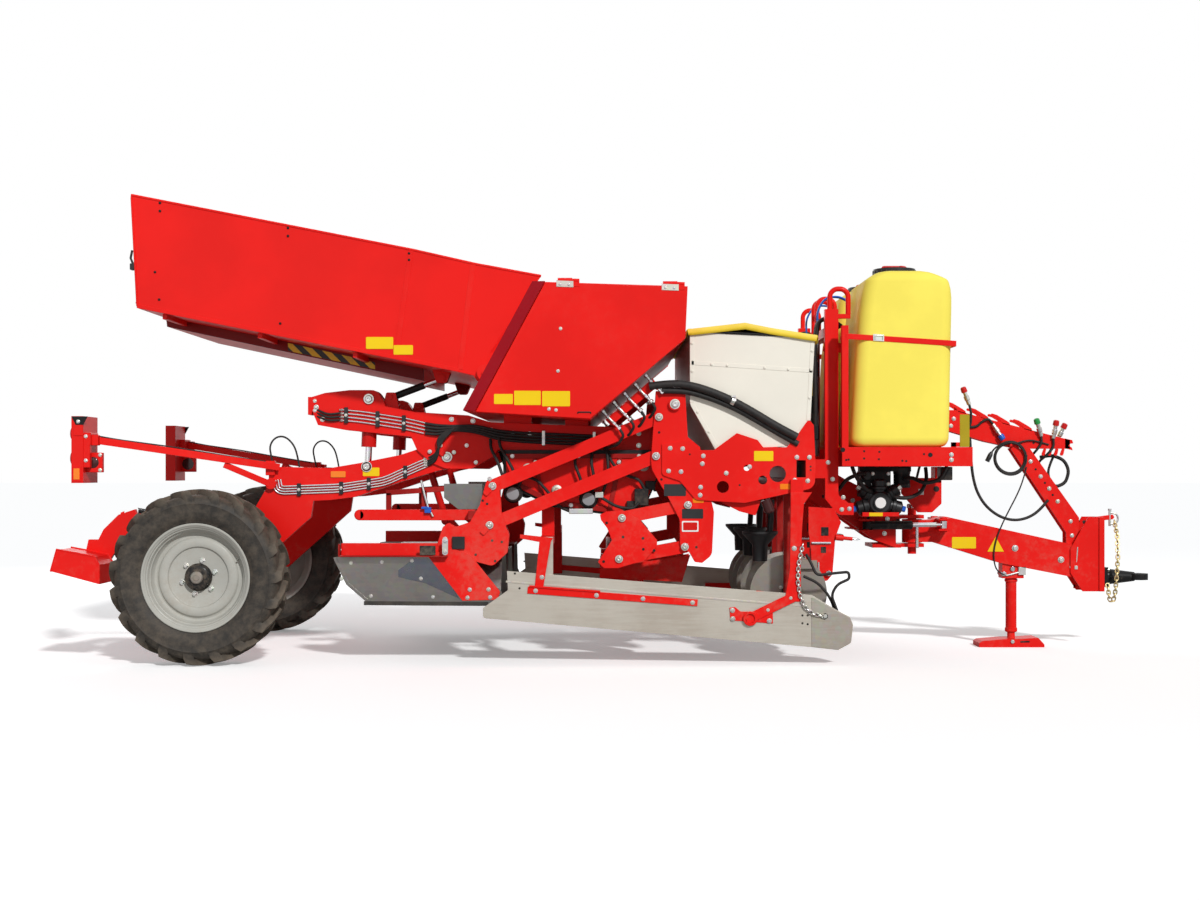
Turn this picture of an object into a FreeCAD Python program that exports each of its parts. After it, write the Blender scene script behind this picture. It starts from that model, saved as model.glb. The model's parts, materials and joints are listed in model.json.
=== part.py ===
import FreeCAD, Part
import math
import os
from types import SimpleNamespace
from FreeCAD import Placement, Rotation, Vector

# A trailed three-row belt planter for potatoes, in millimetres.
# +X is the direction of travel, +Y the machine's left, +Z up; the floor is Z = 0.

doc = FreeCAD.newDocument("BeltPlanter")
sheet = doc.addObject("Spreadsheet::Sheet", "Sizes")

DIMENSIONS = {
    # wheels
    "tyre_diameter": 1120, "tyre_width": 340, "rim_diameter": 664, "rim_width": 300, "rim_wall": 8,
    "wheel_track": 2250, "axle_x": -2740, "axle_diameter": 70, "hub_diameter": 168, "hub_length": 190,
    # shared plate, pin and fit sizes
    "plate": 12, "sheet_metal": 8, "pin_diameter": 50, "bolt_diameter": 30, "running_fit": 0.05,
    "side_gap": 6, "eye_gap": 7,
    # rear frame and swing arms
    "frame_spread": 1650, "beam_width": 160, "swing_pivot_x": -1188, "swing_pivot_z": 1325,
    "swing_eye_diameter": 150, "rail_bottom": 1370, "cross_tube": 120,
    # lifting rams of the swing arms
    "lift_ram_diameter": 98, "lift_rod_diameter": 44, "lift_top_x": -1698, "lift_top_z": 1703,
    "lift_eye_x": -1715, "lift_eye_z": 1262,
    # masts and side plates
    "mast_spread": 2172, "arm_width": 60, "arm_depth": 84, "link_length_x": 1061, "link_length_z": 440,
    "upper_pin_x": 184, "upper_pin_z": 1578, "link_rise": 249, "link_lean": 19,
    # seed bunker and tipping hopper
    "bunker_width": 2680, "cover_stand_off": 60, "hopper_width": 2600, "tip_pivot_x": -908,
    "tip_pivot_z": 1849, "tip_base_x": -1560, "tip_base_z": 1715, "tip_eye_x": -1230, "tip_eye_z": 1840,
    "tip_ram_diameter": 46, "tip_rod_diameter": 36, "trough_width": 1500,
    # fertiliser hopper and tarpaulin
    "fertiliser_width": 2240, "cover_thickness": 8, "cover_overhang": 18, "cover_gap": 0.3,
    # liquid tanks
    "tank_width": 750, "tank_gap": 400, "tank_base": 1389, "tank_rounding": 30, "lid_diameter": 280,
    "lid_height": 45, "tower_spread": 1500,
    # rows, shields, ridge hood and discs
    "row_spacing": 750, "unit_width": 420, "shield_spread": 2372, "shield_sheet": 6, "ridge_height": 300,
    "ridge_crown": 400, "hood_floor": 390, "disc_diameter": 500, "disc_thickness": 8, "disc_gap": 300,
    "disc_x": 1032, "disc_z": 441,
    # pressure rams of the ridge hood
    "hood_ram_spread": 1380, "hood_ram_diameter": 46, "hood_rod_diameter": 26, "hood_ram_top_x": -1395,
    "hood_ram_top_z": 1480, "hood_ram_eye_x": -1215, "hood_ram_eye_z": 905,
    # steering drawbar
    "drawbar_pin_x": 2005, "drawbar_pin_diameter": 60, "drawbar_width": 150, "fork_top": 925,
    "fork_bottom": 700, "steer_base_x": 1640, "steer_base_y": 310, "steer_eye_x": 2195, "steer_eye_y": 165,
    "steer_z": 860, "steer_ram_diameter": 60, "steer_rod_diameter": 32,
    # hitch head, coupling and parking jack
    "hitch_x": 3335, "hitch_height": 520, "hitch_width": 150, "coupling_z": 489, "coupling_reach": 266, "jack_x": 2704,
    "jack_diameter": 76, "jack_leg_diameter": 54, "jack_foot_length": 456, "jack_foot_width": 200,
    # coiled lead on the drawbar's comb
    "coil_radius": 113, "coil_thickness": 30,
}
for row, (alias, number) in enumerate(DIMENSIONS.items(), 1):
    sheet.set(f"A{row}", alias)
    sheet.set(f"B{row}", str(number))
    sheet.setAlias(f"B{row}", alias)
doc.recompute()
d = SimpleNamespace(**{alias: float(sheet.get(alias)) for alias in DIMENSIONS})

RIGHT, LEFT = -1, 1
SIDE_NAMES = {RIGHT: "right", LEFT: "left"}
subparts = {}


# ---------------------------------------------------------------- helpers

def bind(thing, **formulas):
    """Tie properties to sheet cells; an alias in a formula is written with a leading @."""
    for name, formula in formulas.items():
        thing.setExpression(name.replace("__", "."), formula.replace("@", "Sizes."))
    return thing


def new(kind, name):
    thing = doc.addObject(kind, name)
    thing.Label = name
    return thing


def block(name, low, high):
    """A plain box between two corners."""
    box = new("Part::Box", name)
    box.Length, box.Width, box.Height = (high[0] - low[0], high[1] - low[1], high[2] - low[2])
    box.Placement.Base = Vector(*low)
    return box


def rod(name, start, axis, length, diameter):
    """A round bar from a point along an axis; diameter is a sheet formula or a number."""
    bar = new("Part::Cylinder", name)
    bar.Height = length
    if isinstance(diameter, str):
        bind(bar, Radius=f"({diameter}) / 2")
    else:
        bar.Radius = diameter / 2
    bar.Placement = Placement(Vector(*start), Rotation(Vector(0, 0, 1), Vector(*axis)))
    return bar


def fuse(name, pieces):
    joined = new("Part::MultiFuse", name)
    joined.Shapes = pieces
    return joined


def cut(name, base, tools):
    tool = tools[0] if len(tools) == 1 else fuse(name + "_tools", tools)
    left_over = new("Part::Cut", name)
    left_over.Base, left_over.Tool = base, tool
    return left_over


def mirrored(name, source):
    """The same piece on the machine's other side."""
    twin = new("Part::Mirroring", name)
    twin.Source = source
    twin.Normal = Vector(0, 1, 0)
    return twin


def keep(name, thing):
    """Name a finished sub-part; the name is its file's name."""
    thing.Label = name
    subparts[name] = thing
    return thing


def corner_arc(before, at, after, radius):
    """Tangent points and middle of the arc that rounds one corner of an outline."""
    back, ahead = (before - at).normalize(), (after - at).normalize()
    half = back.getAngle(ahead) / 2
    reach = radius / math.tan(half)
    centre = at + (back + ahead).normalize() * (radius / math.sin(half))
    middle = centre + (at - centre).normalize() * radius
    return at + back * reach, middle, at + ahead * reach


def outline_edges(points):
    """Lines and corner arcs of a closed outline; a point's third number rounds its corner."""
    corners = [Vector(p[0], p[1], 0) for p in points]
    radii = [p[2] if len(p) > 2 else 0 for p in points]
    count = len(corners)
    starts, ends, edges = [], [], []
    for i in range(count):
        if radii[i]:
            first, middle, last = corner_arc(corners[i - 1], corners[i], corners[(i + 1) % count], radii[i])
            edges.append(Part.Arc(first, middle, last))
        else:
            first = last = corners[i]
        starts.append(first)
        ends.append(last)
    for i in range(count):
        edges.append(Part.LineSegment(ends[i], starts[(i + 1) % count]))
    return edges


def body_sketch(name, plane, edges, offset):
    """A PartDesign body with one sketch on an origin plane, moved off it by an offset."""
    body = new("PartDesign::Body", name)
    sketch = body.newObject("Sketcher::SketchObject", name + "_sketch")
    flat = next(f for f in body.Origin.OriginFeatures if f.Role == plane)
    sketch.AttachmentSupport = (flat, "")
    sketch.MapMode = "FlatFace"
    sketch.AttachmentOffset = Placement(Vector(0, 0, offset), Rotation())
    sketch.addGeometry(edges, False)
    return body, sketch


def plate(name, points, near, thickness="@plate", holes=()):
    """An upright plate: an outline in X and Z, from Y = near towards -Y by its thickness."""
    edges = outline_edges(points)
    edges += [Part.Circle(Vector(x, z, 0), Vector(0, 0, 1), r) for x, z, r in holes]
    body, sketch = body_sketch(name, "XZ_Plane", edges, -near)
    pad = body.newObject("PartDesign::Pad", name + "_pad")
    pad.Profile = sketch
    bind(pad, Length=thickness)
    return body


def turned(name, points, place):
    """A turned piece: points are radius and distance along the Y axis, placed by its centre."""
    body, sketch = body_sketch(name, "XY_Plane", outline_edges(points), 0)
    spin = body.newObject("PartDesign::Revolution", name + "_turn")
    spin.Profile = sketch
    spin.ReferenceAxis = (sketch, ["V_Axis"])
    spin.Angle = 360
    body.Placement.Base = Vector(*place)
    return body


def inset(points, distances):
    """An outline moved inwards by one distance per edge; a negative one opens that side."""
    count = len(points)
    turn = sum(points[i][0] * points[(i + 1) % count][1] - points[(i + 1) % count][0] * points[i][1]
               for i in range(count))
    sign = 1 if turn > 0 else -1
    lines = []
    for i in range(count):
        (x0, z0), (x1, z1) = points[i][:2], points[(i + 1) % count][:2]
        run = math.hypot(x1 - x0, z1 - z0)
        nx, nz = -sign * (z1 - z0) / run, sign * (x1 - x0) / run
        lines.append((nx, nz, nx * x0 + nz * z0 + distances[i]))
    corners = []
    for i in range(count):
        (a, b, c), (e, f, g) = lines[i - 1], lines[i]
        det = a * f - b * e
        corners.append(((c * f - b * g) / det, (a * g - c * e) / det))
    return corners


def open_shell(name, points, width, distances):
    """A hopper: an outline of full width with its inside cut out, walls as the sheet metal."""
    outer = plate(name + "_outer", points, d_half(width), width)
    inner = plate(name + "_inner", inset(points, distances), d_half(width) - d.sheet_metal,
                  f"{width} - 2 * @sheet_metal")
    return cut(name + "_shell", outer, [inner])


def d_half(formula):
    return getattr(d, formula.replace("@", "")) / 2


def link(name, start, end, near, depth, width, bore):
    """A straight link bar with rounded ends and a bore at each end."""
    run = Vector(end[0] - start[0], end[1] - start[1], 0)
    along, across = Vector(run).normalize(), Vector(-run.y, run.x, 0).normalize() * (depth / 2)
    a, b = Vector(*start, 0), Vector(*end, 0)
    edges = [Part.LineSegment(a + across, b + across), Part.LineSegment(b - across, a - across),
             Part.Arc(b + across, b + along * (depth / 2), b - across),
             Part.Arc(a - across, a - along * (depth / 2), a + across)]
    edges += [Part.Circle(p, Vector(0, 0, 1), bore / 2) for p in (a, b)]
    body, sketch = body_sketch(name, "XZ_Plane", edges, -near)
    pad = body.newObject("PartDesign::Pad", name + "_pad")
    pad.Profile = sketch
    bind(pad, Length=width)
    return body


def ram(name, base, eye, axis, barrel_length, inside, barrel, rod_size, base_pin, end_pin):
    """A hydraulic ram: its barrel turns on the base pin, its rod ends in a solid eye.

    base and eye are 3D points, axis is the pins' direction, inside is how far the rod reaches
    into its barrel.  The rod's eye holds no pin, because that pivot is where the closed
    linkage is opened.
    """
    start, finish = Vector(*base), Vector(*eye)
    ahead = (finish - start).normalize()
    length = (finish - start).Length
    eye_width = d.arm_width - 10
    pin_axis = Vector(*axis)
    tube = rod(name + "_tube", tuple(start), tuple(ahead), barrel_length, barrel)
    lug = rod(name + "_lug", tuple(start - pin_axis * (eye_width / 2)), axis, eye_width, base_pin * 2)
    bore = rod(name + "_bore", tuple(start + ahead * (base_pin + 6)), tuple(ahead), length,
               f"{rod_size} + 2 * @running_fit")
    hole = rod(name + "_hole", tuple(start - pin_axis * 200), axis, 400, base_pin + 2 * d.running_fit)
    barrel_piece = cut(name + "_barrel", fuse(name + "_solid", [tube, lug]), [bore, hole])
    stem = rod(name + "_stem", tuple(start + ahead * (barrel_length - inside)), tuple(ahead),
               length - barrel_length + inside, rod_size)
    knuckle = rod(name + "_knuckle", tuple(finish - pin_axis * (eye_width / 2)), axis, eye_width, end_pin * 2)
    return barrel_piece, fuse(name + "_rod", [stem, knuckle])


def pipe(name, points, diameter):
    """A bent tube: straight runs joined by tangent arcs, each as large as its two runs allow."""
    corners = [Vector(*p) for p in points]
    edges, here, radii = [], corners[0], []
    for before, at, after in zip(corners, corners[1:], corners[2:]):
        shorter = min((at - before).Length, (after - at).Length)
        half_turn = (at - before).getAngle(after - at) / 2
        radius = 0.45 * shorter / math.tan(half_turn)
        first, middle, last = corner_arc(before, at, after, radius)
        edges += [Part.LineSegment(here, first).toShape(), Part.Arc(first, middle, last).toShape()]
        here = last
        radii.append(round(radius))
    edges.append(Part.LineSegment(here, corners[-1]).toShape())
    path = Part.Wire(edges)
    ring = Part.Wire(Part.makeCircle(diameter / 2, corners[0], corners[1] - corners[0]))
    tube = path.makePipeShell([ring], True, True)
    wanted = math.pi * diameter ** 2 / 4 * path.Length
    print(f"{name}: length {path.Length:.0f}, radii {radii}, volume ratio {tube.Volume / wanted:.4f}")
    piece = new("Part::Feature", name)
    piece.Shape = tube
    return piece


def bar(name, start, end, width, depth):
    """A square-cut bar between two points; width is across, depth is upright."""
    ahead = Vector(*end) - Vector(*start)
    box = new("Part::Box", name)
    box.Length, box.Width, box.Height = ahead.Length, width, depth
    turn = Rotation(ahead, Vector(), Vector(0, 0, 1), "XZY")
    box.Placement = Placement(Vector(*start) + turn.multVec(Vector(0, -width / 2, -depth / 2)), turn)
    return box


# ---------------------------------------------------------------- places that several pieces share

AXLE_Z = d.tyre_diameter / 2
BEAM_IN = -(d.frame_spread - d.beam_width) / 2
BEAM_OUT = BEAM_IN - d.beam_width
BEAM_MID = (BEAM_IN + BEAM_OUT) / 2
ARM_MID = -d.mast_spread / 2
FORK_OUT = ARM_MID - d.arm_width / 2 - d.side_gap      # inner face of a fork's outer plate
FORK_IN = ARM_MID + d.arm_width / 2 + d.side_gap       # outer face of a fork's inner plate
MAST_OUT = FORK_OUT - d.plate
MAST_IN = FORK_IN + d.plate
PIN_FIT = 2 * d.running_fit
RIDGE_X = (-1685, -827)
TUBE_A = (200, 340, d.rail_bottom, d.rail_bottom + 140)
TUBE_B = (1052, 1127, 1185, 1310)
TUBE_C = (400, 480, 880, 960)
TUBE_D = (-940, -840, d.rail_bottom, d.rail_bottom + 120)
FRONT_IN, FRONT_OUT = 170, 190                         # faces of the front frame's side plates


def fork_pin(name, x, z, diameter):
    """A pin through both plates of a fork."""
    return rod(name, (x, MAST_OUT - 8, z), (0, 1, 0), MAST_IN - MAST_OUT + 16, diameter)


# ---------------------------------------------------------------- rear frame

def rear_frame():
    beam = plate("beam", [
        (-2070, 1716), (-1985, 1742), (-1822, 1761, 40), (-1650, 1761, 60), (-1607, 1700, 20),
        (-1590, 1655), (-1398, 1618), (-1050, 1596), (-900, 1550), (200, 1510), (200, d.rail_bottom),
        (-840, d.rail_bottom), (-1300, 1436), (-1398, 1455), (-1854, 1501), (-2030, 1533), (-2070, 1631)],
        BEAM_IN, "@beam_width")
    slot = block("ram_slot", (d.lift_top_x - 80, BEAM_OUT + 25, 1300), (d.lift_top_x + 60, BEAM_IN - 25, 1900))
    end_plate = block("end_plate", (-2095, BEAM_OUT, 1600), (-2070, BEAM_IN, 1716))
    gusset = [(-1429, 1470), (-1385, 1370), (-1298, 1290), (-1201, 1250, 30), (-1032, 1247, 30),
              (-882, 1331), (-843, 1400), (-843, 1470)]
    outer = plate("gusset_outer", gusset, BEAM_OUT + d.plate)
    inner = plate("gusset_inner", gusset, BEAM_IN)
    span = d.beam_width + 16
    pivot = rod("swing_pin", (d.swing_pivot_x, BEAM_OUT - 8, d.swing_pivot_z), (0, 1, 0), span, "@pin_diameter")
    top_pin = rod("lift_pin", (d.lift_top_x, BEAM_OUT - 8, d.lift_top_z), (0, 1, 0), span, "@pin_diameter")
    lug = [(d.tip_base_x - 60, 1620), (d.tip_base_x - 30, d.tip_base_z + 32, 12),
           (d.tip_base_x + 30, d.tip_base_z + 32, 12), (d.tip_base_x + 60, 1620)]
    lugs = [plate(f"tip_lug_{i}", lug, y) for i, y in
            enumerate((BEAM_MID - 31, BEAM_MID + 31 + d.plate))]
    tip_pin = rod("tip_pin", (d.tip_base_x, BEAM_MID - 50, d.tip_base_z), (0, 1, 0), 100, "@bolt_diameter")
    seat = plate("bunker_seat", [(-820, 1530), (-820, seat_top(-820)), (-640, seat_top(-640)), (-640, 1520)],
                 BEAM_IN - 20, "@beam_width - 40")
    seat_front = plate("bunker_seat_front", [(-420, 1520), (-420, seat_top(-420)), (-270, seat_top(-270)),
                                             (-270, 1510)], BEAM_IN - 20, "@beam_width - 40")
    hood_lug = block("hood_ram_lug", (d.hood_ram_top_x - 40, BEAM_IN, d.hood_ram_top_z - 40),
                     (d.hood_ram_top_x + 40, -d.hood_ram_spread / 2 + 31 + d.plate, d.hood_ram_top_z + 80))
    hood_gap = block("hood_ram_gap", (d.hood_ram_top_x - 80, -d.hood_ram_spread / 2 - 31, d.hood_ram_top_z - 80),
                     (d.hood_ram_top_x + 80, -d.hood_ram_spread / 2 + 31, d.hood_ram_top_z + 45))
    right = fuse("rear_right", [cut("beam_slotted", beam, [slot]), end_plate, outer, inner, pivot, top_pin,
                                *lugs, tip_pin, seat, seat_front,
                                cut("hood_ram_ears", hood_lug, [hood_gap])])
    cross = [block("rear_cross", (-2040, BEAM_IN, 1600), (-1920, -BEAM_IN, 1700)),
             block("middle_cross", (TUBE_D[0], BEAM_IN, TUBE_D[2]), (TUBE_D[1], -BEAM_IN, TUBE_D[3]))]
    return fuse("rear_frame_all", [right, mirrored("rear_left", right), *cross])


def seat_top(x):
    """Height of the bunker's sloping floor at a place along the frame."""
    return 1613 + (x + 1050) * (1557 - 1613) / (-254 + 1050)


# ---------------------------------------------------------------- cross tubes, masts, side plates

def cross_tubes():
    half = -MAST_OUT
    inner = -MAST_IN
    tube_a = block("mast_tube", (TUBE_A[0], -inner, TUBE_A[2]), (TUBE_A[1], inner, TUBE_A[3]))
    solid_b = block("tool_tube", (TUBE_B[0], -half, TUBE_B[2]), (TUBE_B[1], half, TUBE_B[3]))
    bore_b = block("tool_tube_bore", (TUBE_B[0] + 8, -half, TUBE_B[2] + 8), (TUBE_B[1] - 8, half, TUBE_B[3] - 8))
    tube_c = block("lower_tube", (TUBE_C[0], -inner, TUBE_C[2]), (TUBE_C[1], inner, TUBE_C[3]))
    return fuse("cross_tubes_all", [tube_a, cut("tool_tube_open", solid_b, [bore_b]), tube_c, disc_carriers()])


def masts():
    outline = [(165, 1744), (352, 1738), (368, 1451), (446, 1387), (522, 1029, 60), (535, 972),
               (522, 698, 60), (459, 647), (414, 653), (382, 710), (318, 761, 30), (318, 921, 60),
               (242, 1068), (140, 1240, 60), (133, 1304)]
    pieces = [plate("mast_outer", outline, FORK_OUT), plate("mast_inner", outline, MAST_IN)]
    for name, x, z in (("upper", d.upper_pin_x, d.upper_pin_z),
                       ("lower", d.upper_pin_x - d.link_lean, d.upper_pin_z - d.link_rise),
                       ("opener_upper", 368, 1017), ("opener_lower", 349, 750)):
        pieces.append(fork_pin("mast_pin_" + name, x, z, "@bolt_diameter"))
    pieces.append(block("mast_spacer", (290, FORK_OUT, 1640), (340, FORK_IN, 1740)))
    pieces.append(rod("mast_boss", (285, MAST_OUT - 25, 1660), (0, 1, 0), 25, 80))
    right = fuse("mast_right", pieces)
    return fuse("masts_all", [right, mirrored("mast_left", right)])


def ledge_top(x):
    """Height of the fertiliser hopper's floor, which rests on the side plates' ledges."""
    return 1374 + (x - 542) * (1390 - 1374) / (1002 - 542)


def side_plates():
    outline = [(202, 1405), (202, 1208, 30), (317, 1170), (419, 1049, 50), (731, 1030), (1080, 1106),
               (1176, 1125, 60), (1182, 1272), (1170, 1526), (1138, 1565, 15), (1061, 1456),
               (998, 1386), (851, 1380), (813, 1431), (680, 1475), (533, 1367), (444, 1367), (381, 1431, 10)]
    holes = [(940, 1215, 52), (591, 1132, 38), (845, 1176, 28), (743, 1253, 19)]
    face = plate("side_plate", outline, MAST_OUT, holes=holes)
    window = block("tube_window", (TUBE_B[0] + 8, MAST_OUT - 50, TUBE_B[2] + 8),
                   (TUBE_B[1] - 8, MAST_OUT + 50, TUBE_B[3] - 8))
    ledge = plate("hopper_ledge", [(600, 1335), (940, 1335), (940, ledge_top(940)), (600, ledge_top(600))],
                  MAST_OUT + 70, "70")
    right = fuse("side_plate_right", [cut("side_plate_cut", face, [window]), ledge])
    return fuse("side_plates_all", [right, mirrored("side_plate_left", right)])


# ---------------------------------------------------------------- wheels on their swing arms

def wheel(side):
    name = SIDE_NAMES[side]
    place = (d.axle_x, side * d.wheel_track / 2, AXLE_Z)
    outer, seat = d.tyre_diameter / 2, d.rim_diameter / 2 - 25
    half = d.tyre_width / 2
    bead = d.rim_width / 2 - 12
    tyre = turned("tyre_" + name, [
        (seat, -bead), (d.rim_diameter / 2 + 12, -bead, 8), (outer - 130, -half, 60), (outer - 12, -half + 8, 30),
        (outer, -half / 2, 100), (outer, half / 2, 100), (outer - 12, half - 8, 30), (outer - 130, half, 60),
        (d.rim_diameter / 2 + 12, bead, 8), (seat, bead)], place)
    flange, wall = d.rim_width / 2, d.rim_wall
    hub, bore = d.hub_diameter / 2, d.axle_diameter / 2 + d.running_fit
    disc = side * 30
    rim = turned("rim_" + name, [
        (seat + 25, -flange), (seat + 25, -flange + wall), (seat, -flange + wall), (seat, -60),
        (seat - 25, -40), (seat - 25, 40), (seat, 60), (seat, flange - wall), (seat + 25, flange - wall),
        (seat + 25, flange), (seat - wall, flange), (seat - wall, 66), (seat - 25 - wall, 44),
        (seat - 25 - wall, disc + 10), (hub + 60, disc + 10 + side * 25), (hub, disc + 10 + side * 25),
        (hub, d.hub_length / 2), (bore, d.hub_length / 2), (bore, -d.hub_length / 2),
        (hub, -d.hub_length / 2), (hub, disc - 2 + side * 25), (hub + 60, disc - 2 + side * 25),
        (seat - 25 - wall, disc - 2), (seat - 25 - wall, -44), (seat - wall, -66), (seat - wall, -flange)], place)
    keep("tyre_" + name, tyre)
    keep("rim_" + name, rim)


def swing_arm():
    width = f"@beam_width - 2 * @plate - 2 * @side_gap"
    near = BEAM_IN - d.plate - d.side_gap
    far = BEAM_OUT + d.plate + d.side_gap
    px, pz = d.swing_pivot_x, d.swing_pivot_z
    eye = d.swing_eye_diameter / 2
    arm = plate("swing_beam", [
        (-2352, 1262), (-1954, 1253), (-1758, 1286), (-1497, 1338), (-1334, 1392), (px - 40, pz + eye - 4),
        (px + 30, pz + eye - 8, 30), (px + eye, pz, 60), (px + 10, pz - eye, 60), (px - 60, 1236),
        (-1497, 1162), (-1791, 1064), (-1954, 1044), (-2332, 1025, 20), (-2358, 1044)],
        near, width, holes=[(px, pz, d.pin_diameter / 2 + d.running_fit)])
    slot = block("lift_eye_slot", (d.lift_eye_x - 75, BEAM_MID - 35, d.lift_eye_z - 60),
                 (d.lift_eye_x + 75, BEAM_MID + 35, 1400))
    drop = plate("drop_bracket", [
        (-2352, 1150), (-2060, 1060), (-2080, 930), (-2560, 500), (d.axle_x + 40, AXLE_Z - 100, 60),
        (d.axle_x - 90, AXLE_Z - 60, 60), (d.axle_x - 80, AXLE_Z + 90, 40), (-2600, 800), (-2440, 1000)],
        far + 40, "40")
    stub = rod("stub_axle", (d.axle_x, -d.wheel_track / 2 - d.hub_length / 2 + 12, AXLE_Z), (0, 1, 0),
               far + 40 + d.wheel_track / 2 + d.hub_length / 2 - 12, "@axle_diameter")
    collar = rod("axle_collar", (d.axle_x, -d.wheel_track / 2 + d.hub_length / 2 + 1, AXLE_Z), (0, 1, 0),
                 far - (-d.wheel_track / 2 + d.hub_length / 2 + 1), 130)
    heads = [rod(f"lift_eye_head_{i}", (d.lift_eye_x, y, d.lift_eye_z), (0, 1, 0), 8, "@pin_diameter + 10")
             for i, y in enumerate((far - 8, near))]
    return fuse("swing_arm_right", [cut("swing_beam_slotted", arm, [slot]), drop, stub, collar, *heads])


def lift_rams():
    base = (d.lift_top_x, BEAM_MID, d.lift_top_z)
    eye = (d.lift_eye_x, BEAM_MID, d.lift_eye_z)
    return ram("lift", base, eye, (0, 1, 0), 312, 170, "@lift_ram_diameter", "@lift_rod_diameter",
               d.pin_diameter, 34)


def light_bar():
    """The lamp board behind a wheel and the forked arm that carries it."""
    root_y = BEAM_OUT + d.plate + d.side_gap - 20
    board_y = -d.wheel_track / 2 - 165
    upper = bar("light_arm", (-2280, root_y, 1258), (-3440, board_y + 60, 1437), 40, 45)
    lower = bar("light_brace", (-2330, root_y, 1144), (-2620, root_y - 90, 1275), 30, 40)
    boss = rod("light_boss", (-2335, root_y - 20, 1150), (0, 1, 0), 40, 70)
    board = block("light_board", (-3515, board_y, 1158), (-3440, board_y + 300, 1579))
    return fuse("light_bar_right", [upper, lower, boss, board])


def track_board():
    """The levelling board behind a wheel, folded up on its bracket."""
    root_y = BEAM_OUT + d.plate + d.side_gap
    carrier = bar("board_carrier", (-2560, root_y - 20, 830), (-3240, root_y - 20, 935), 40, 60)
    bracket = plate("board_bracket", [
        (-3538, 700), (-3518, 788), (-3454, 788), (-3421, 853), (-3324, 949), (-3215, 985), (-3190, 900),
        (-3357, 690), (-3389, 640)], root_y, "40")
    outline = [(-3667, 600), (-3628, 735), (-3391, 690), (-3359, 640), (-3359, 517)]
    outer = plate("board_outer", outline, root_y - 40, "300")
    inner = plate("board_inner", inset(outline, [8, 8, 8, 8, -60]), root_y - 48, "284")
    return fuse("track_board_right", [carrier, bracket, cut("board_hood", outer, [inner])])


# ---------------------------------------------------------------- bunker, covers, tipping hopper

HINGES = ((-455, 2411), (200, 2390))      # where the side covers hang, X and Z
HINGE_LINE = (HINGES[1][0] - HINGES[0][0], 0, HINGES[1][1] - HINGES[0][1])
BUNKER = [(-615, 2416), (356, 2385), (337, 2061), (-254, 1557), (-1050, 1613)]


def bunker():
    wall = d.sheet_metal
    shell = open_shell("bunker", BUNKER, "@bunker_width", [-300, wall, wall, wall, -300])
    half = d.bunker_width / 2
    front = half + d.cover_stand_off - 4
    rim = Part.makePolygon([Vector(-969, -front, 1607), Vector(-969, -half, 1607), Vector(-1048, -half, 1612),
                            Vector(-969, -front, 1607)])
    post = new("Part::Feature", "bevel_post")
    post.Shape = Part.Face(rim).extrude(Vector(435, 0, 808))
    pin = rod("tip_pivot_pin", (d.tip_pivot_x, -half, d.tip_pivot_z), (0, 1, 0),
              half - d.hopper_width / 2 + wall + 6, "@pin_diameter")
    boss = rod("tip_pivot_boss", (d.tip_pivot_x, -half + wall, d.tip_pivot_z), (0, 1, 0),
               half - wall - d.hopper_width / 2 - 6, 110)
    hinges = [block(f"hinge_pad_{i}", (x, -half - d.cover_stand_off + 12, z), (x + 90, -half, z + 26))
              for i, (x, z) in enumerate(HINGES)]
    hinge_feet = [block(f"hinge_foot_{i}", (x, -half, z - 50), (x + 90, -half + wall, z + 26))
                  for i, (x, z) in enumerate(HINGES)]
    knuckles = [rod(f"hinge_knuckle_{i}", (x, -half - d.cover_stand_off + 6, z + 13), HINGE_LINE, 90, 22)
                for i, (x, z) in enumerate(HINGES)]
    apron = plate("bunker_apron", [(-1050, 1613), (-958, 1783), (-949, 1778), (-1040, 1609)],
                  half - 1, "@bunker_width - 2")
    side = fuse("bunker_side", [post, pin, boss, *hinges, *hinge_feet, *knuckles])
    return fuse("bunker_all", [shell, apron, side, mirrored("bunker_side_left", side)])


def side_cover():
    """The hinged cover over the bunker's side, a folded sheet that stands off the wall."""
    half = d.bunker_width / 2
    outline = [(-534, 2405), (352, 2378), (335, 2061, 20), (-254, 1562, 20), (-962, 1606)]
    near = -half - d.cover_stand_off + d.sheet_metal
    skin = plate("cover_skin", outline, near, "@sheet_metal")
    fold = cut("cover_fold", plate("cover_fold_outer", outline, near + 32, "32"), [
        plate("cover_fold_inner", inset([p[:2] for p in outline], [8, 8, 8, 8, 8]), near + 34, "36")])
    leaves = []
    for i, (x, z) in enumerate(HINGES):
        drop = 90.3 * HINGE_LINE[2] / HINGE_LINE[0]
        leaves.append(rod(f"leaf_knuckle_{i}", (x + 90.3, -half - d.cover_stand_off + 6, z + 13 + drop), HINGE_LINE,
                          45, 22))
        leaves.append(block(f"leaf_{i}", (x + 91, -half - d.cover_stand_off - 2, z - 30),
                            (x + 135.3, -half - d.cover_stand_off + 6, z + 13)))
    return fuse("side_cover_right", [skin, fold, *leaves])


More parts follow.
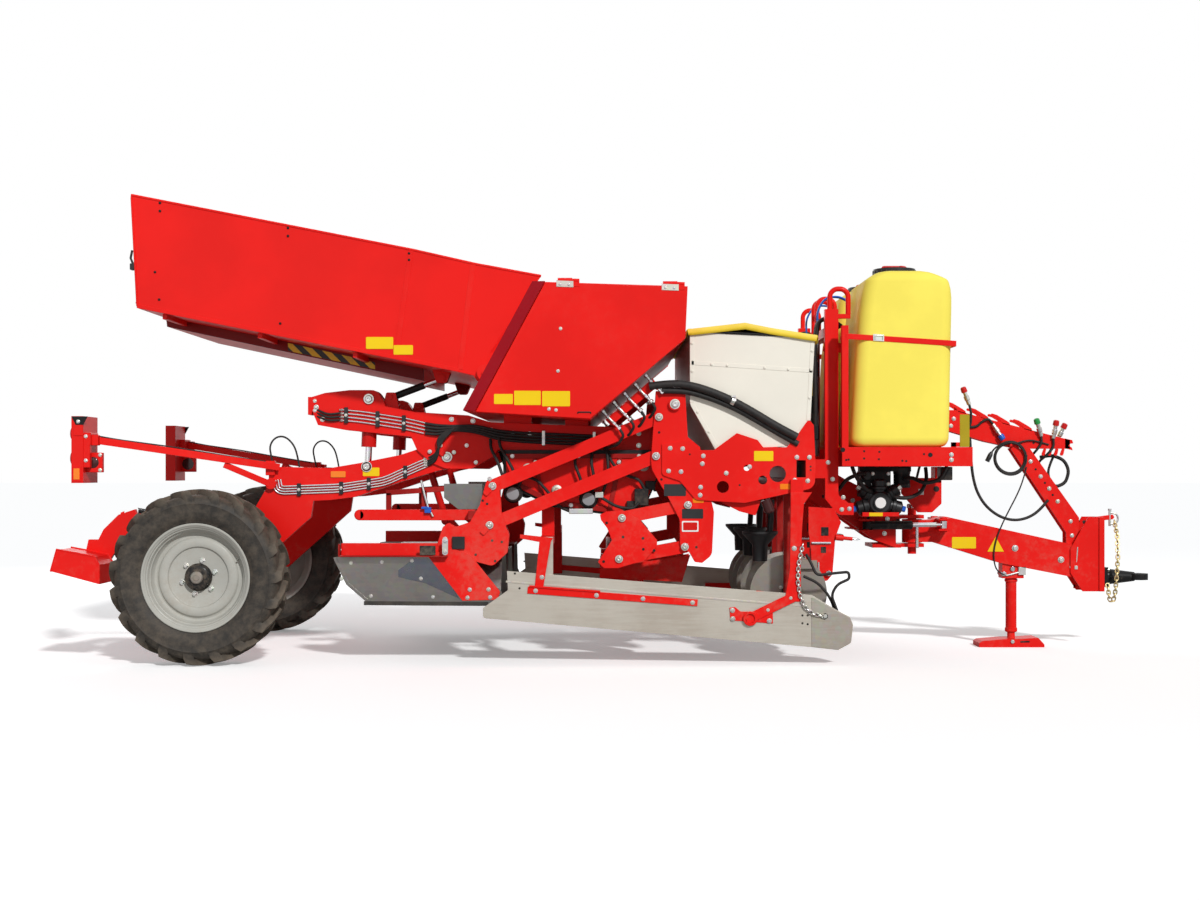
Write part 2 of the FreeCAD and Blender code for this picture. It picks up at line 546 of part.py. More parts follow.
def tipping_hopper():
    wall = d.sheet_metal
    outline = [(-3137, 2967), (-1366, 2622), (-977, 2534), (-562, 2458), (-977, 1832), (-1077, 1855),
               (-1517, 1943), (-3099, 2257)]
    shell = open_shell("hopper", outline, "@hopper_width", [-300, -300, -300, -200, wall, wall, wall, wall])
    lug = plate("pivot_lug", [(-1000, 1930), (-830, 1990), (-840, 1800, 40), (-960, 1790, 40), (-1000, 1860)],
                -d.hopper_width / 2 + 20, "20",
                holes=[(d.tip_pivot_x, d.tip_pivot_z, d.pin_diameter / 2 + d.running_fit)])
    trough = plate("trough", [(-3060, 2250), (-3053, 2187), (-1360, 1830), (-1360, 1915)],
                   d.trough_width / 2, "@trough_width")
    floor_z = 1943 - (d.tip_eye_x + 1517) * 0.2
    ear = [(d.tip_eye_x - 60, floor_z + 15), (d.tip_eye_x + 60, floor_z - 9), (d.tip_eye_x + 32, d.tip_eye_z - 32, 20),
           (d.tip_eye_x - 32, d.tip_eye_z - 32, 20)]
    ears = [plate(f"tip_ear_{i}", ear, y) for i, y in enumerate((BEAM_MID - 31, BEAM_MID + 31 + d.plate))]
    heads = [rod(f"tip_head_{i}", (d.tip_eye_x, y, d.tip_eye_z), (0, 1, 0), 8, 50)
             for i, y in enumerate((BEAM_MID - 31 - d.plate - 8, BEAM_MID + 31 + d.plate))]
    side = fuse("hopper_side", [lug, *ears, *heads])
    return fuse("hopper_all", [shell, trough, side, mirrored("hopper_side_left", side)])


def tip_rams():
    return ram("tip", (d.tip_base_x, BEAM_MID, d.tip_base_z), (d.tip_eye_x, BEAM_MID, d.tip_eye_z),
               (0, 1, 0), 230, 165, "@tip_ram_diameter", "@tip_rod_diameter", d.bolt_diameter, 26)


# ---------------------------------------------------------------- fertiliser hopper and its tarpaulin

FERTILISER = [(385, 2134), (1175, 2096), (1143, 1540), (1002, 1390), (542, 1374), (385, 1660)]


def fertiliser_hopper():
    wall = d.sheet_metal
    shell = open_shell("fertiliser", FERTILISER, "@fertiliser_width", [-200, wall, wall, wall, wall, wall])
    return shell


def rim_height(x):
    """Height of the fertiliser hopper's sloping rim."""
    (x0, z0), (x1, z1) = FERTILISER[:2]
    return z0 + (x - x0) * (z1 - z0) / (x1 - x0)


def tarpaulin():
    """The cover's solid: a shallow arch that rests on the rim all round and hangs a little over it."""
    t, over, skirt = d.cover_thickness, d.cover_overhang, 6
    back, front = FERTILISER[0][0] - over - skirt, FERTILISER[1][0] + over + skirt
    seat = t + d.cover_gap
    outline = [(back, rim_height(back) - 45)]
    outline += [(x, rim_height(x) + seat) for x in (back, back + over + skirt + 10)]
    outline += [(734, 2182), (894, 2150)]
    outline += [(x, rim_height(x) + seat) for x in (front - over - skirt - 10, front)]
    outline += [(front, rim_height(front) - 45)]
    width = "@fertiliser_width + 2 * @cover_overhang"
    outer = plate("tarpaulin_outer", outline, d.fertiliser_width / 2 + over, width)
    inner = plate("tarpaulin_inner", inset(outline, [skirt, t, t, t, t, t, skirt, -60]),
                  d.fertiliser_width / 2 + over - skirt, width + f" - {2 * skirt}")
    return cut("tarpaulin_all", outer, [inner])


# ---------------------------------------------------------------- tanks and their tower

def tank(side):
    name = "tank_" + SIDE_NAMES[side]
    base = d.tank_base
    outline = [(1432, base, 60), (1478, base + 690, 400), (1530, base + 1120, 60),
               (1620, base + 1150, 60), (1960, base + 1150, 60), (2078, base + 1095, 60),
               (2104, base + 960, 60), (2084, base, 60)]
    near = -d.tank_gap / 2 if side == RIGHT else d.tank_gap / 2 + d.tank_width
    body = plate(name, outline, near, "@tank_width")
    doc.recompute()
    rounded = new("Part::Fillet", name + "_rounding")
    rounded.Base = body
    rounded.Edges = [(i, d.tank_rounding, d.tank_rounding) for i, edge in enumerate(body.Shape.Edges, 1)
                     if edge.BoundBox.YLength < 0.01]
    return keep(name, rounded)


def tank_lids():
    top = d.tank_base + 1150
    lids = [rod(f"lid_{SIDE_NAMES[s]}", (1780, s * (d.tank_gap + d.tank_width) / 2, top), (0, 0, 1),
                d.lid_height, "@lid_diameter") for s in (RIGHT, LEFT)]
    return fuse("tank_lids_all", lids)


def tank_tower():
    post_y = -d.tower_spread / 2
    pieces = [block("tower_post", (1290, post_y - 30, 1050), (1378, post_y + 30, 2300)),
              block("tower_foot", (TUBE_B[1], post_y - 30, TUBE_B[2]), (1290, post_y + 30, TUBE_B[3]))]
    near, far = -d.tank_gap / 2, -d.tank_gap / 2 - d.tank_width
    floor = d.tank_base
    pieces += [block("cradle_floor", (1378, far, floor - 14), (2170, near, floor)),
               block("cradle_side", (1378, far - 2, floor - 125), (2225, far + 10, floor)),
               block("cradle_inner", (1378, near - 10, floor - 125), (2170, near + 2, floor)),
               block("cradle_front", (2150, far, floor - 100), (2170, near, floor)),
               block("corner_post", (1378, far - 2, floor), (1420, far + 60, floor + 790)),
               block("rung_upper", (1290, post_y, 2120), (1350, 0, 2180)),
               block("rung_lower", (1290, post_y, 1230), (1350, -FRONT_OUT, 1290))]
    hook = plate("lower_hook", [(1290, 1200), (1378, 1200), (1378, 1075, 30), (1446, 1022), (1479, 1022),
                                (1479, 943), (1378, 943, 60), (1290, 1050)], post_y + 30, "60")
    right = fuse("tower_right", [*pieces, hook, *handrails(post_y)])
    return fuse("tank_tower_all", [right, mirrored("tower_left", right)])


def handrails(post_y):
    """Bent rails on top of the post and of the upper rung, with the stays at their front legs."""
    outer = pipe("rail_outer", [(1325, post_y, 2299), (1325, post_y, 2436), (1446, post_y, 2436),
                                (1446, post_y, 2268)], 34)
    inner = pipe("rail_inner", [(1325, -100, 2179), (1325, -100, 2436), (1446, -100, 2436),
                                (1446, -100, 2168)], 34)
    stays = [block("rail_stay_outer", (1378, post_y - 15, 2240), (1460, post_y + 15, 2270)),
             block("rail_stay_inner", (1350, -115, 2140), (1460, -85, 2170))]
    return [outer, inner, *stays]


def front_frame():
    """Two side plates from the tool tube to the drawbar's fork, with the fork plates between."""
    outline = [(TUBE_B[1], 1320), (1300, 1300), (1500, 1180), (1840, 1010), (1860, d.fork_top),
               (1860, d.fork_bottom), (1700, 760), (1500, 900), (1300, 1010), (TUBE_B[1], 1130)]
    side = plate("front_side", outline, -FRONT_IN, "20")
    hole = d.drawbar_pin_diameter / 2
    pin = rod("drawbar_pin", (d.drawbar_pin_x, 0, d.fork_bottom - 50), (0, 0, 1),
              d.fork_top - d.fork_bottom + 100, "@drawbar_pin_diameter")
    forks = [block(f"fork_{i}", (1700, -170, z), (d.drawbar_pin_x + 70, 170, z + 25))
             for i, z in enumerate((d.fork_bottom, d.fork_top - 25))]
    corner = [block(f"fork_trim_{i}", (1900, y, d.fork_bottom - 80), (d.drawbar_pin_x + 100, y + 90, d.fork_top + 60))
              for i, y in enumerate((-172, 82))]
    ram_ear = [block(f"steer_ear_{i}", (d.steer_base_x - 60, -d.steer_base_y - 40, z),
                     (d.steer_base_x + 40, -190, z + d.plate))
               for i, z in enumerate((d.steer_z - 31 - d.plate, d.steer_z + 31))]
    ram_pin = rod("steer_pin", (d.steer_base_x, -d.steer_base_y, d.steer_z - 50), (0, 0, 1), 100,
                  "@bolt_diameter")
    right = fuse("front_right", [side, *ram_ear, ram_pin])
    plates = cut("forks_trimmed", fuse("forks", forks), corner)
    spine = block("front_spine", (TUBE_B[1], -60, 1150), (1290, 60, 1290))
    stays = [block("spine_plate", (1290, -170, 1150), (1310, 170, 1290))]
    return fuse("front_frame_all", [right, mirrored("front_left", right), plates, pin, spine, *stays])


# ---------------------------------------------------------------- rows: planting units, openers, discs

def planting_units():
    rear = (-820, -900, -820)      # the middle one reaches under the middle cross tube
    units = [plate(f"unit_{i}", [
        (rear[i], d.rail_bottom), (190, d.rail_bottom), (190, 1200), (100, 1000), (-150, 950),
        (-500, 1000), (-820, 1150)], (i - 1) * d.row_spacing + d.unit_width / 2, "@unit_width")
        for i in range(3)]
    return fuse("planting_units_all", units)


def opener_frame():
    """Opener carriers on their links behind the masts, one share per row under a cross tube."""
    bore = d.bolt_diameter + PIN_FIT
    near = FORK_IN - d.side_gap
    upper = link("opener_link_upper", (368, 1017), (-52, 934), near, 80, "@arm_width", bore)
    lower = link("opener_link_lower", (349, 750), (-71, 673), near, 80, "@arm_width", bore)
    outline = [(-192, 953), (-154, 972), (-52, 985, 20), (63, 921), (172, 793), (172, 755), (95, 665),
               (-77, 614, 20), (-167, 614), (-205, 652), (-116, 793), (-147, 870), (-186, 921)]
    pieces = [plate("carrier_outer", outline, FORK_OUT), plate("carrier_inner", outline, MAST_IN)]
    pieces += [fork_pin("carrier_pin_upper", -52, 934, "@bolt_diameter"),
               fork_pin("carrier_pin_lower", -71, 673, "@bolt_diameter"), upper, lower]
    side = fuse("opener_side", pieces)
    tube = block("opener_tube", (-150, MAST_IN, 650), (-70, -MAST_IN, 730))
    share = [(-190, 650), (-20, 650), (180, 330), (200, 250, 20), (20, 230), (-190, 420)]
    shares = [plate(f"share_{i}", share, (i - 1) * d.row_spacing + 60, "120") for i in range(3)]
    return fuse("opener_frame_all", [side, mirrored("opener_side_left", side), tube, *shares])


def discs(row):
    """The pair of ridging discs of one row on their short axle."""
    middle = (row - 1) * d.row_spacing
    half = d.disc_gap / 2
    place = (d.disc_x, middle, d.disc_z)
    radius, t = d.disc_diameter / 2, d.disc_thickness
    bore = 17 + d.running_fit
    pieces = [turned(f"disc_{row}_{i}", [
        (bore, s * (half - 30)), (45, s * (half - 30)), (45, s * half), (radius, s * (half + 26)),
        (radius, s * (half + 26 + t)), (45, s * (half + 30)), (bore, s * (half + 30))], place)
        for i, s in enumerate((-1, 1))]
    hub = turned(f"disc_hub_{row}", [(bore, -half), (40, -half), (40, half), (bore, half)], place)
    return fuse(f"discs_{row}_all", [*pieces, hub])


def disc_carriers():
    """Axles and hanging legs of the ridging discs under the tool tube."""
    pieces = []
    for row in range(3):
        middle = (row - 1) * d.row_spacing
        reach = d.disc_gap / 2 + 70
        pieces.append(rod(f"disc_axle_{row}", (d.disc_x, middle - reach, d.disc_z), (0, 1, 0), 2 * reach, 34))
        for i, s in enumerate((-1, 1)):
            y = middle + s * (reach - 12)
            pieces.append(block(f"disc_leg_{row}_{i}", (d.disc_x - 35, y - 10, d.disc_z - 30),
                                (d.disc_x + 35, y + 10, TUBE_B[2])))
    rail = d.disc_x - 35
    pieces.append(block("disc_rail", (rail, MAST_IN + 60, TUBE_B[2] - 60), (rail + 90, -MAST_IN - 60, TUBE_B[2])))
    return fuse("disc_carriers_all", pieces)


def shields():
    """The long side shields beside the outer ridges, with their hangers."""
    near = -d.shield_spread / 2 + d.shield_sheet
    face = plate("shield_face", [
        (-783, 599), (1154, 446), (1300, 357), (1396, 306), (1415, 256), (1402, 141, 30), (1319, 97),
        (1148, 116), (-935, 300, 20), (-935, 364), (-776, 478)], near, "@shield_sheet")
    rail = bar("shield_rail", (-655, near + 8, 500), (423, near + 8, 402), 16, 40)
    upright = block("shield_upright", (-572, near, 440), (-490, near + 40, 815))
    arm = block("shield_arm", (-572, near, 765), (-490, -d.row_spacing - 110, 815))
    riser = plate("shield_riser", [(-572, 765), (-490, 765), (-490, 998.3), (-500, 999.7), (-572, 1033.4)],
                  -d.row_spacing - 110, "40")
    hanger = plate("shield_hanger", [(1020, 1180), (1100, 1180), (1100, 1110), (1076, 416), (898, 270, 20),
                                     (753, 270), (619, 289), (619, 365), (898, 365), (1012, 435)],
                   MAST_OUT - d.plate, "@shield_spread / 2 - @shield_sheet + %s" % (MAST_OUT - d.plate))
    right = fuse("shield_right", [face, rail, upright, arm, riser, hanger])
    return fuse("shields_all", [right, mirrored("shield_left", right)])


# ---------------------------------------------------------------- ridge hood on its parallelogram

UPPER_PIN = (d.upper_pin_x, d.upper_pin_z)
LOWER_PIN = (d.upper_pin_x - d.link_lean, d.upper_pin_z - d.link_rise)


def rear_of(pin):
    """Where a link from a mast pin ends."""
    return pin[0] - d.link_length_x, pin[1] - d.link_length_z


def links(name, pin):
    near = FORK_IN - d.side_gap
    right = link(name + "_right", pin, rear_of(pin), near, d.arm_depth, "@arm_width",
                 d.bolt_diameter + 2 * PIN_FIT)
    return fuse(name + "_all", [right, mirrored(name + "_left", right)])


def hood_frame():
    outline = [(-914, 1176, 20), (-837, 1189, 20), (-824, 972), (-773, 825, 40), (-786, 710), (-876, 627, 40),
               (-971, 652), (-1169, 723), (-1233, 761, 20), (-1195, 876, 15), (-1163, 902, 15), (-1118, 876),
               (-1022, 908), (-959, 1016), (-933, 1112)]
    pieces = [plate("ridger_outer", outline, FORK_OUT), plate("ridger_inner", outline, MAST_IN)]
    for i, (x, z) in enumerate((rear_of(UPPER_PIN), rear_of(LOWER_PIN))):
        pieces.append(fork_pin(f"ridger_pin_{i}", x, z, "@bolt_diameter"))
    pieces.append(block("tray_beam", (-1843, MAST_OUT + 4, 690), (-1160, MAST_OUT + 64, 772)))
    pieces.append(plate("hood_bracket", [(-1290, 693), (-1145, 745), (-1018, 700), (-827, 464, 20), (-846, 413),
                                         (-1069, 407)], MAST_OUT, "@plate"))
    ear_y = -d.hood_ram_spread / 2
    ear = [(-1130, 815), (-1085, 815), (d.hood_ram_eye_x + 34, d.hood_ram_eye_z + 20, 20),
           (d.hood_ram_eye_x, d.hood_ram_eye_z + 34, 20), (d.hood_ram_eye_x - 34, d.hood_ram_eye_z, 20)]
    for i, y in enumerate((ear_y - 31, ear_y + 31 + d.plate)):
        pieces.append(plate(f"hood_ram_ear_{i}", ear, y))
    pieces.append(rod("hood_ram_pin", (d.hood_ram_eye_x, ear_y - 50, d.hood_ram_eye_z), (0, 1, 0), 100,
                      "@bolt_diameter"))
    side = fuse("hood_frame_right", pieces)
    tube = block("hood_tube", (-1143, MAST_OUT, 742), (-1061, -MAST_OUT, 818))
    return fuse("hood_frame_all", [side, mirrored("hood_frame_left", side), tube])


def ridge_hood():
    """The sheet hood that shapes three ridges: a trapezoid wave across the rows, with end plates."""
    low, high = d.hood_floor, d.hood_floor + d.ridge_height
    row, crown, t = d.row_spacing, d.ridge_crown / 2, d.shield_sheet
    wave = [(-1.5 * row, low)]
    for centre in (-row, 0, row):
        wave += [(centre - crown, high), (centre + crown, high), (centre + row / 2, low)]
    top = [(y, z + t) for y, z in reversed(wave)]
    body, sketch = body_sketch("hood_wave", "YZ_Plane", outline_edges(wave + top), RIDGE_X[0])
    pad = body.newObject("PartDesign::Pad", "hood_wave_pad")
    pad.Profile = sketch
    pad.Length = RIDGE_X[1] - RIDGE_X[0]
    outer_y = -1.5 * row
    end = [(-1894, 681), (-1812, 510), (-1685, 402), (-1621, 383), (-827, 376), (-808, 427), (-827, 478),
           (-1145, 690), (-1843, 690)]
    cheek = plate("hood_cheek", end, outer_y + t, f"{outer_y + t - MAST_OUT}")
    return fuse("ridge_hood_all", [body, cheek, mirrored("hood_cheek_left", cheek)])


def hood_rams():
    y = -d.hood_ram_spread / 2
    return ram("hood", (d.hood_ram_eye_x, y, d.hood_ram_eye_z), (d.hood_ram_top_x, y, d.hood_ram_top_z),
               (0, 1, 0), 380, 140, "@hood_ram_diameter", "@hood_rod_diameter", d.bolt_diameter, 26)


# ---------------------------------------------------------------- drawbar, steering rams, jack

BEAM_TOP = ((2222, 915), (3180, 705))      # ends of the drawbar's sloping top


def beam_top(x):
    """Height of the drawbar's sloping top."""
    (x0, z0), (x1, z1) = BEAM_TOP
    return z0 + (x - x0) * (z1 - z0) / (x1 - x0)


def drawbar():
    half = d.drawbar_width / 2
    low, high = d.fork_bottom + 25 + d.side_gap, d.fork_top - 25 - d.side_gap
    beam = plate("drawbar_beam", [
        (2030, high - 5), (2120, high - 5), (*BEAM_TOP[0], 60), BEAM_TOP[1], (3180, 477), (2608, 589, 200),
        (2140, low + 4), (2030, low + 4)], half, "@drawbar_width")
    eye = rod("drawbar_eye", (d.drawbar_pin_x, 0, low), (0, 0, 1), high - low, 140)
    hole = rod("drawbar_bore", (d.drawbar_pin_x, 0, 0), (0, 0, 1), 2000,
               "@drawbar_pin_diameter + 2 * @running_fit")
    ears = [block(f"drawbar_ear_{i}", (d.steer_eye_x - 40, -d.steer_eye_y - 42, z),
                  (d.steer_eye_x + 40, -half, z + d.plate))
            for i, z in enumerate((d.steer_z - 31 - d.plate, d.steer_z + 31))]
    heads = [rod(f"drawbar_ear_head_{i}", (d.steer_eye_x, -d.steer_eye_y, z), (0, 0, 1), 8, 50)
             for i, z in enumerate((d.steer_z - 31 - d.plate - 8, d.steer_z + 31 + d.plate))]
    ear_side = fuse("drawbar_ears", [*ears, *heads])
    jack_block = block("jack_bracket", (d.jack_x - 75, -60, 480), (d.jack_x + 75, 60, 600))
    return cut("drawbar_all", fuse("drawbar_solid", [
        beam, eye, ear_side, mirrored("drawbar_ears_left", ear_side), jack_block]), [hole])


def hitch_head():
    face, top = d.hitch_x, 910
    low = top - d.hitch_height
    half = d.hitch_width / 2
    cheeks = [plate(f"hitch_cheek_{i}", [(3100, 690), (face - 110, top), (face - 36, top), (face - 36, low),
                                         (face - 150, low), (3100, 520)], y)
              for i, y in enumerate((-half, half + d.plate))]
    holes = [rod(f"hitch_hole_{i}", (face - 60, y, z), (1, 0, 0), 100, 22)
             for i, (y, z) in enumerate((y, z) for y in (-50, 50) for z in (low + 250, low + 340))]
    plate_face = block("hitch_face", (face - 36, -half - d.plate - 10, low), (face, half + d.plate + 10, top))
    return fuse("hitch_head_all", [*cheeks, cut("hitch_face_drilled", plate_face, holes)])


def coupling():
    face, z = d.hitch_x, d.coupling_z
    base = block("coupling_base", (face, -80, z - 68), (face + 30, 80, z + 68))
    neck = new("Part::Cone", "coupling_neck")
    neck.Radius1, neck.Radius2, neck.Height = 58, 32, d.coupling_reach - 60
    neck.Placement = Placement(Vector(face + 30, 0, z), Rotation(Vector(0, 0, 1), Vector(1, 0, 0)))
    ring = rod("coupling_ring", (face + d.coupling_reach, 0, z - 22), (0, 0, 1), 44, 132)
    bore = rod("coupling_bore", (face + d.coupling_reach, 0, z - 60), (0, 0, 1), 120, 50)
    return cut("coupling_all", fuse("coupling_solid", [base, neck, ring]), [bore])


COIL = (2683, -68, 1325)       # middle of the coiled lead


def hose_holder():
    strut = [(2690, 1390), (2790, 1440), (3170, 905), (3170, beam_top(3170)), (3080, beam_top(3080)), (3080, 800)]
    comb = [(2229, 1661), (2300, 1661), (2520, 1600), (3106, 1451), (3106, 1390), (2740, 1390), (2509, 1440),
            (2229, 1521)]
    pieces = [plate(f"strut_{i}", strut, y) for i, y in enumerate((-38, 50))]
    pieces += [plate(f"comb_{i}", comb, y) for i, y in enumerate((-38, 50))]
    pieces += [block(f"comb_tie_{i}", (x, -38, z), (x + 40, 38, z + 40))
               for i, (x, z) in enumerate(((2260, 1570), (2700, 1430), (3040, 1410)))]
    x, y, z = COIL
    top = z + d.coil_radius - d.coil_thickness / 2 - d.cover_gap
    pieces.append(rod("coil_peg", (x, -95, top - 8), (0, 1, 0), 50, 16))
    return fuse("hose_holder_all", pieces)


def jack():
    top, low = 480, 100
    leg = d.jack_leg_diameter
    tube = cut("jack_tube_all", rod("jack_tube_solid", (d.jack_x, 0, low), (0, 0, 1), top - low, "@jack_diameter"),
               [rod("jack_bore", (d.jack_x, 0, low - 1), (0, 0, 1), top - low - 20,
                    "@jack_leg_diameter + 2 * @running_fit")])
    stem = rod("jack_stem", (d.jack_x, 0, 30), (0, 0, 1), 420, "@jack_leg_diameter")
    half = d.jack_foot_length / 2
    mid = d.jack_x - 18
    foot = plate("jack_foot", [(mid - half, 0), (mid + half, 0), (mid + half, 20), (mid + half - 42, 66),
                               (mid + 40, 58), (mid - 40, 58), (mid - half + 22, 44), (mid - half, 30)],
                 d.jack_foot_width / 2, "@jack_foot_width")
    return tube, fuse("jack_leg_all", [stem, foot])


def steer_rams():
    return ram("steer", (d.steer_base_x, -d.steer_base_y, d.steer_z), (d.steer_eye_x, -d.steer_eye_y, d.steer_z),
               (0, 0, 1), 330, 180, "@steer_ram_diameter", "@steer_rod_diameter", d.bolt_diameter, 26)


def pump():
    """The spray pump and its filter under the tanks, one closed solid."""
    body = block("pump_body", (1560, -560, 1060), (1760, -380, 1230))
    filter_bowl = rod("pump_filter", (1850, -470, 1120), (0, 0, 1), 160, 110)
    manifold = block("pump_manifold", (1560, -520, 1230), (1905, -420, 1262))
    hang = block("pump_hang", (1600, -500, 1262), (1660, -440, d.tank_base - 14))
    return fuse("pump_all", [body, filter_bowl, manifold, hang])


# ---------------------------------------------------------------- cords

def coiled_lead():
    """Three turns of lead on the comb's peg, its run to the comb and the plug on its loose end."""
    x, y, z = COIL
    turns = bind(new("Part::Torus", "lead_turns"), Radius1="@coil_radius", Radius2="@coil_thickness / 2")
    turns.Placement = Placement(Vector(x, y, z), Rotation(Vector(1, 0, 0), 90))
    run = pipe("lead_run", [(2955, -56.3, 1418), (2880, -58, 1440), (2810, -62, 1452), (2750, y, 1436),
                            (2683, y, z + d.coil_radius), (2635, y, z + d.coil_radius - 9)], 12)
    tail = pipe("lead_tail", [(2683, y, z + d.coil_radius), (2640, y, z + d.coil_radius - 8), (2590, y, 1404),
                              (2552, y, 1370), (2540, y, 1350)], 12)
    plug = rod("lead_plug", (2545, y, 1358), (-0.45, 0, -0.89), 70, 34)
    return fuse("coiled_lead_all", [turns, run, tail, plug])


def cords():
    keep("coiled_lead", coiled_lead())
    arch = [(-2335, 1262.8), (-2350, 1330), (-2362, 1398), (-2325, 1455), (-2262, 1463), (-2205, 1412),
            (-2178, 1340), (-2165, 1259.2)]
    y = BEAM_MID
    for side in (RIGHT, LEFT):
        keep("light_cable_" + SIDE_NAMES[side], pipe("light_cable_" + SIDE_NAMES[side],
             [(x, side * abs(y), z) for x, z in arch], 12))
    keep("drawbar_hose", pipe("drawbar_hose", [
        (2401, -60.3, 1470), (2404, -63, 1400), (2409, -66, 1300), (2420, -68, 1190), (2450, -70, 1080),
        (2510, -72, 985), (2600, -72, 915), (2700, -70, 885), (2800, -68, 900), (2890, -63, 955),
        (2950, -60.3, 1030)], 20))
    keep("jack_cable", pipe("jack_cable", [
        (2800, -55.3, 1260), (2770, -68, 1160), (2725, -80, 1060), (2670, -86, 960), (2615, -88, 850),
        (2575, -86, 740), (2560, -84, 640), (2575, -80, 550), (2620, -74, 510), (2655, -65.3, 500)], 10))
    hose_y = MAST_OUT - d.plate - 25.3
    keep("fertiliser_hose", pipe("fertiliser_hose", [
        (120, hose_y, 1772), (240, hose_y, 1790), (370, hose_y, 1783), (520, hose_y, 1738),
        (670, hose_y, 1672), (810, hose_y, 1592), (930, hose_y, 1518), (1060, hose_y, 1450)], 50))


# ---------------------------------------------------------------- assembly

keep("rear_frame", rear_frame())
keep("cross_tubes", cross_tubes())
keep("masts", masts())
keep("side_plates", side_plates())
keep("front_frame", front_frame())
keep("tank_tower", tank_tower())
for side in (RIGHT, LEFT):
    tank(side)
    wheel(side)
keep("tank_lids", tank_lids())
keep("pump", pump())
keep("bunker", bunker())
keep("fertiliser_hopper", fertiliser_hopper())
keep("tarpaulin", tarpaulin())
keep("planting_units", planting_units())
keep("opener_frame", opener_frame())
keep("side_shields", shields())
for row, place in enumerate(("right", "middle", "left")):
    keep("discs_" + place, discs(row))


def pair(name, piece):
    """Keep a right-hand piece and its left-hand twin as two sub-parts."""
    keep(name + "_right", piece)
    keep(name + "_left", mirrored(name + "_left", piece))


def both(name, piece):
    """Keep a piece and its twin as one sub-part of two solids."""
    keep(name, fuse(name + "_both", [piece, mirrored(name + "_twin", piece)]))


pair("swing_arm", swing_arm())
for name, piece in zip(("lift_barrel", "lift_rod"), lift_rams()):
    pair(name, piece)
pair("light_bar", light_bar())
pair("track_board", track_board())
pair("side_cover", side_cover())
keep("tipping_hopper", tipping_hopper())
for name, piece in zip(("tip_barrels", "tip_rods"), tip_rams()):
    both(name, piece)
keep("upper_links", links("upper_links", UPPER_PIN))
keep("lower_links", links("lower_links", LOWER_PIN))
keep("hood_frame", hood_frame())
keep("ridge_hood", ridge_hood())
for name, piece in zip(("hood_barrels", "hood_rods"), hood_rams()):
    both(name, piece)
keep("drawbar", drawbar())
keep("hitch_head", hitch_head())
keep("coupling", coupling())
keep("hose_holder", hose_holder())
for name, piece in zip(("jack_tube", "jack_leg"), jack()):
    keep(name, piece)
for name, piece in zip(("steer_barrel", "steer_rod"), steer_rams()):
    pair(name, piece)
cords()

doc.recompute()
faults = [o.Label for o in doc.Objects if "Invalid" in o.State or "Error" in o.State]
for name, thing in subparts.items():
    if thing.Shape.isNull() or not thing.Shape.isValid() or not thing.Shape.Solids:
        faults.append(name)
if faults:
    raise SystemExit("faulty pieces: " + ", ".join(faults))

os.makedirs("parts", exist_ok=True)
for name, thing in subparts.items():
    thing.Shape.exportStep(f"parts/{name}.step")
    box = thing.Shape.BoundBox
    print(f"{name}: {len(thing.Shape.Solids)} solids, X {box.XMin:.0f}..{box.XMax:.0f}, "
          f"Y {box.YMin:.0f}..{box.YMax:.0f}, Z {box.ZMin:.0f}..{box.ZMax:.0f}")
print(len(subparts), "sub-parts")
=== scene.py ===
# %% [markdown]
# # A trailed potato planter, finished around its frame
# The frame holds every plate, tube and joint at its real size. This notebook gives each of them
# its finish and adds what a workshop would bolt on last: tyres with lugs, steel pipes, bolt heads,
# lamps, hoses and the tarpaulin. The frame's axes are kept: +X is the direction of travel,
# +Y the machine's left and +Z up. Shapes are written in millimetres, as on a workshop drawing.

# %% Load the frame
import json
import math
import bmesh
import bpy
import numpy as np
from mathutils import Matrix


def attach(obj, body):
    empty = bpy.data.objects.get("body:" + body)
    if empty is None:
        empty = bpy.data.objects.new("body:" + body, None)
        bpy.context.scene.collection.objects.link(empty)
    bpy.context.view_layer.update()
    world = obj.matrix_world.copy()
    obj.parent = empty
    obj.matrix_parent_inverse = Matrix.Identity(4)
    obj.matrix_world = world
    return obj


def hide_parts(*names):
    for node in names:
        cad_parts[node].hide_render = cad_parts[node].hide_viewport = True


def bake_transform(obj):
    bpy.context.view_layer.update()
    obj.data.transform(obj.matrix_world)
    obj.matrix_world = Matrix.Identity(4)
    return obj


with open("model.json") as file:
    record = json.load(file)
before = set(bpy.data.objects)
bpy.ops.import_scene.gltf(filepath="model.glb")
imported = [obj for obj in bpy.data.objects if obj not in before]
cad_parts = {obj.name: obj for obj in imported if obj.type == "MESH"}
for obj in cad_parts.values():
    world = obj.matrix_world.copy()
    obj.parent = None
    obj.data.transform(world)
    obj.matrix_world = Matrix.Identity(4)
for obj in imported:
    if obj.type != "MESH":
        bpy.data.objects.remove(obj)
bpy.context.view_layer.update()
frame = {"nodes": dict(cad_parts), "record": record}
nodes = frame["nodes"]
RIGHT, LEFT = -1, 1
SIDES = {"right": RIGHT, "left": LEFT}

# %% [markdown]
# ## Surfaces as arrays
# A solid here is a pair: an array of points, and a list of faces. A grid of points gives quads,
# and a tube, a lathe piece or a curved panel is such a grid. Working with whole arrays is quick,
# and it keeps the formula of a shape readable. Modelling each piece by hand would be slower to
# change, and a Boolean would leave stray faces.

# %% Grids, and solids that are joined, moved or mirrored
def grid_faces(rows, columns, close_rows=False, close_columns=False):
    """Quads between neighbours on a grid; a closed direction also joins its last line to its first."""
    r = np.arange(rows if close_rows else rows - 1)[:, None]
    c = np.arange(columns if close_columns else columns - 1)[None, :]
    r1, c1 = (r + 1) % rows, (c + 1) % columns
    corners = [r * columns + c, r * columns + c1, r1 * columns + c1, r1 * columns + c]
    return np.stack(corners, -1).reshape(-1, 4).tolist()


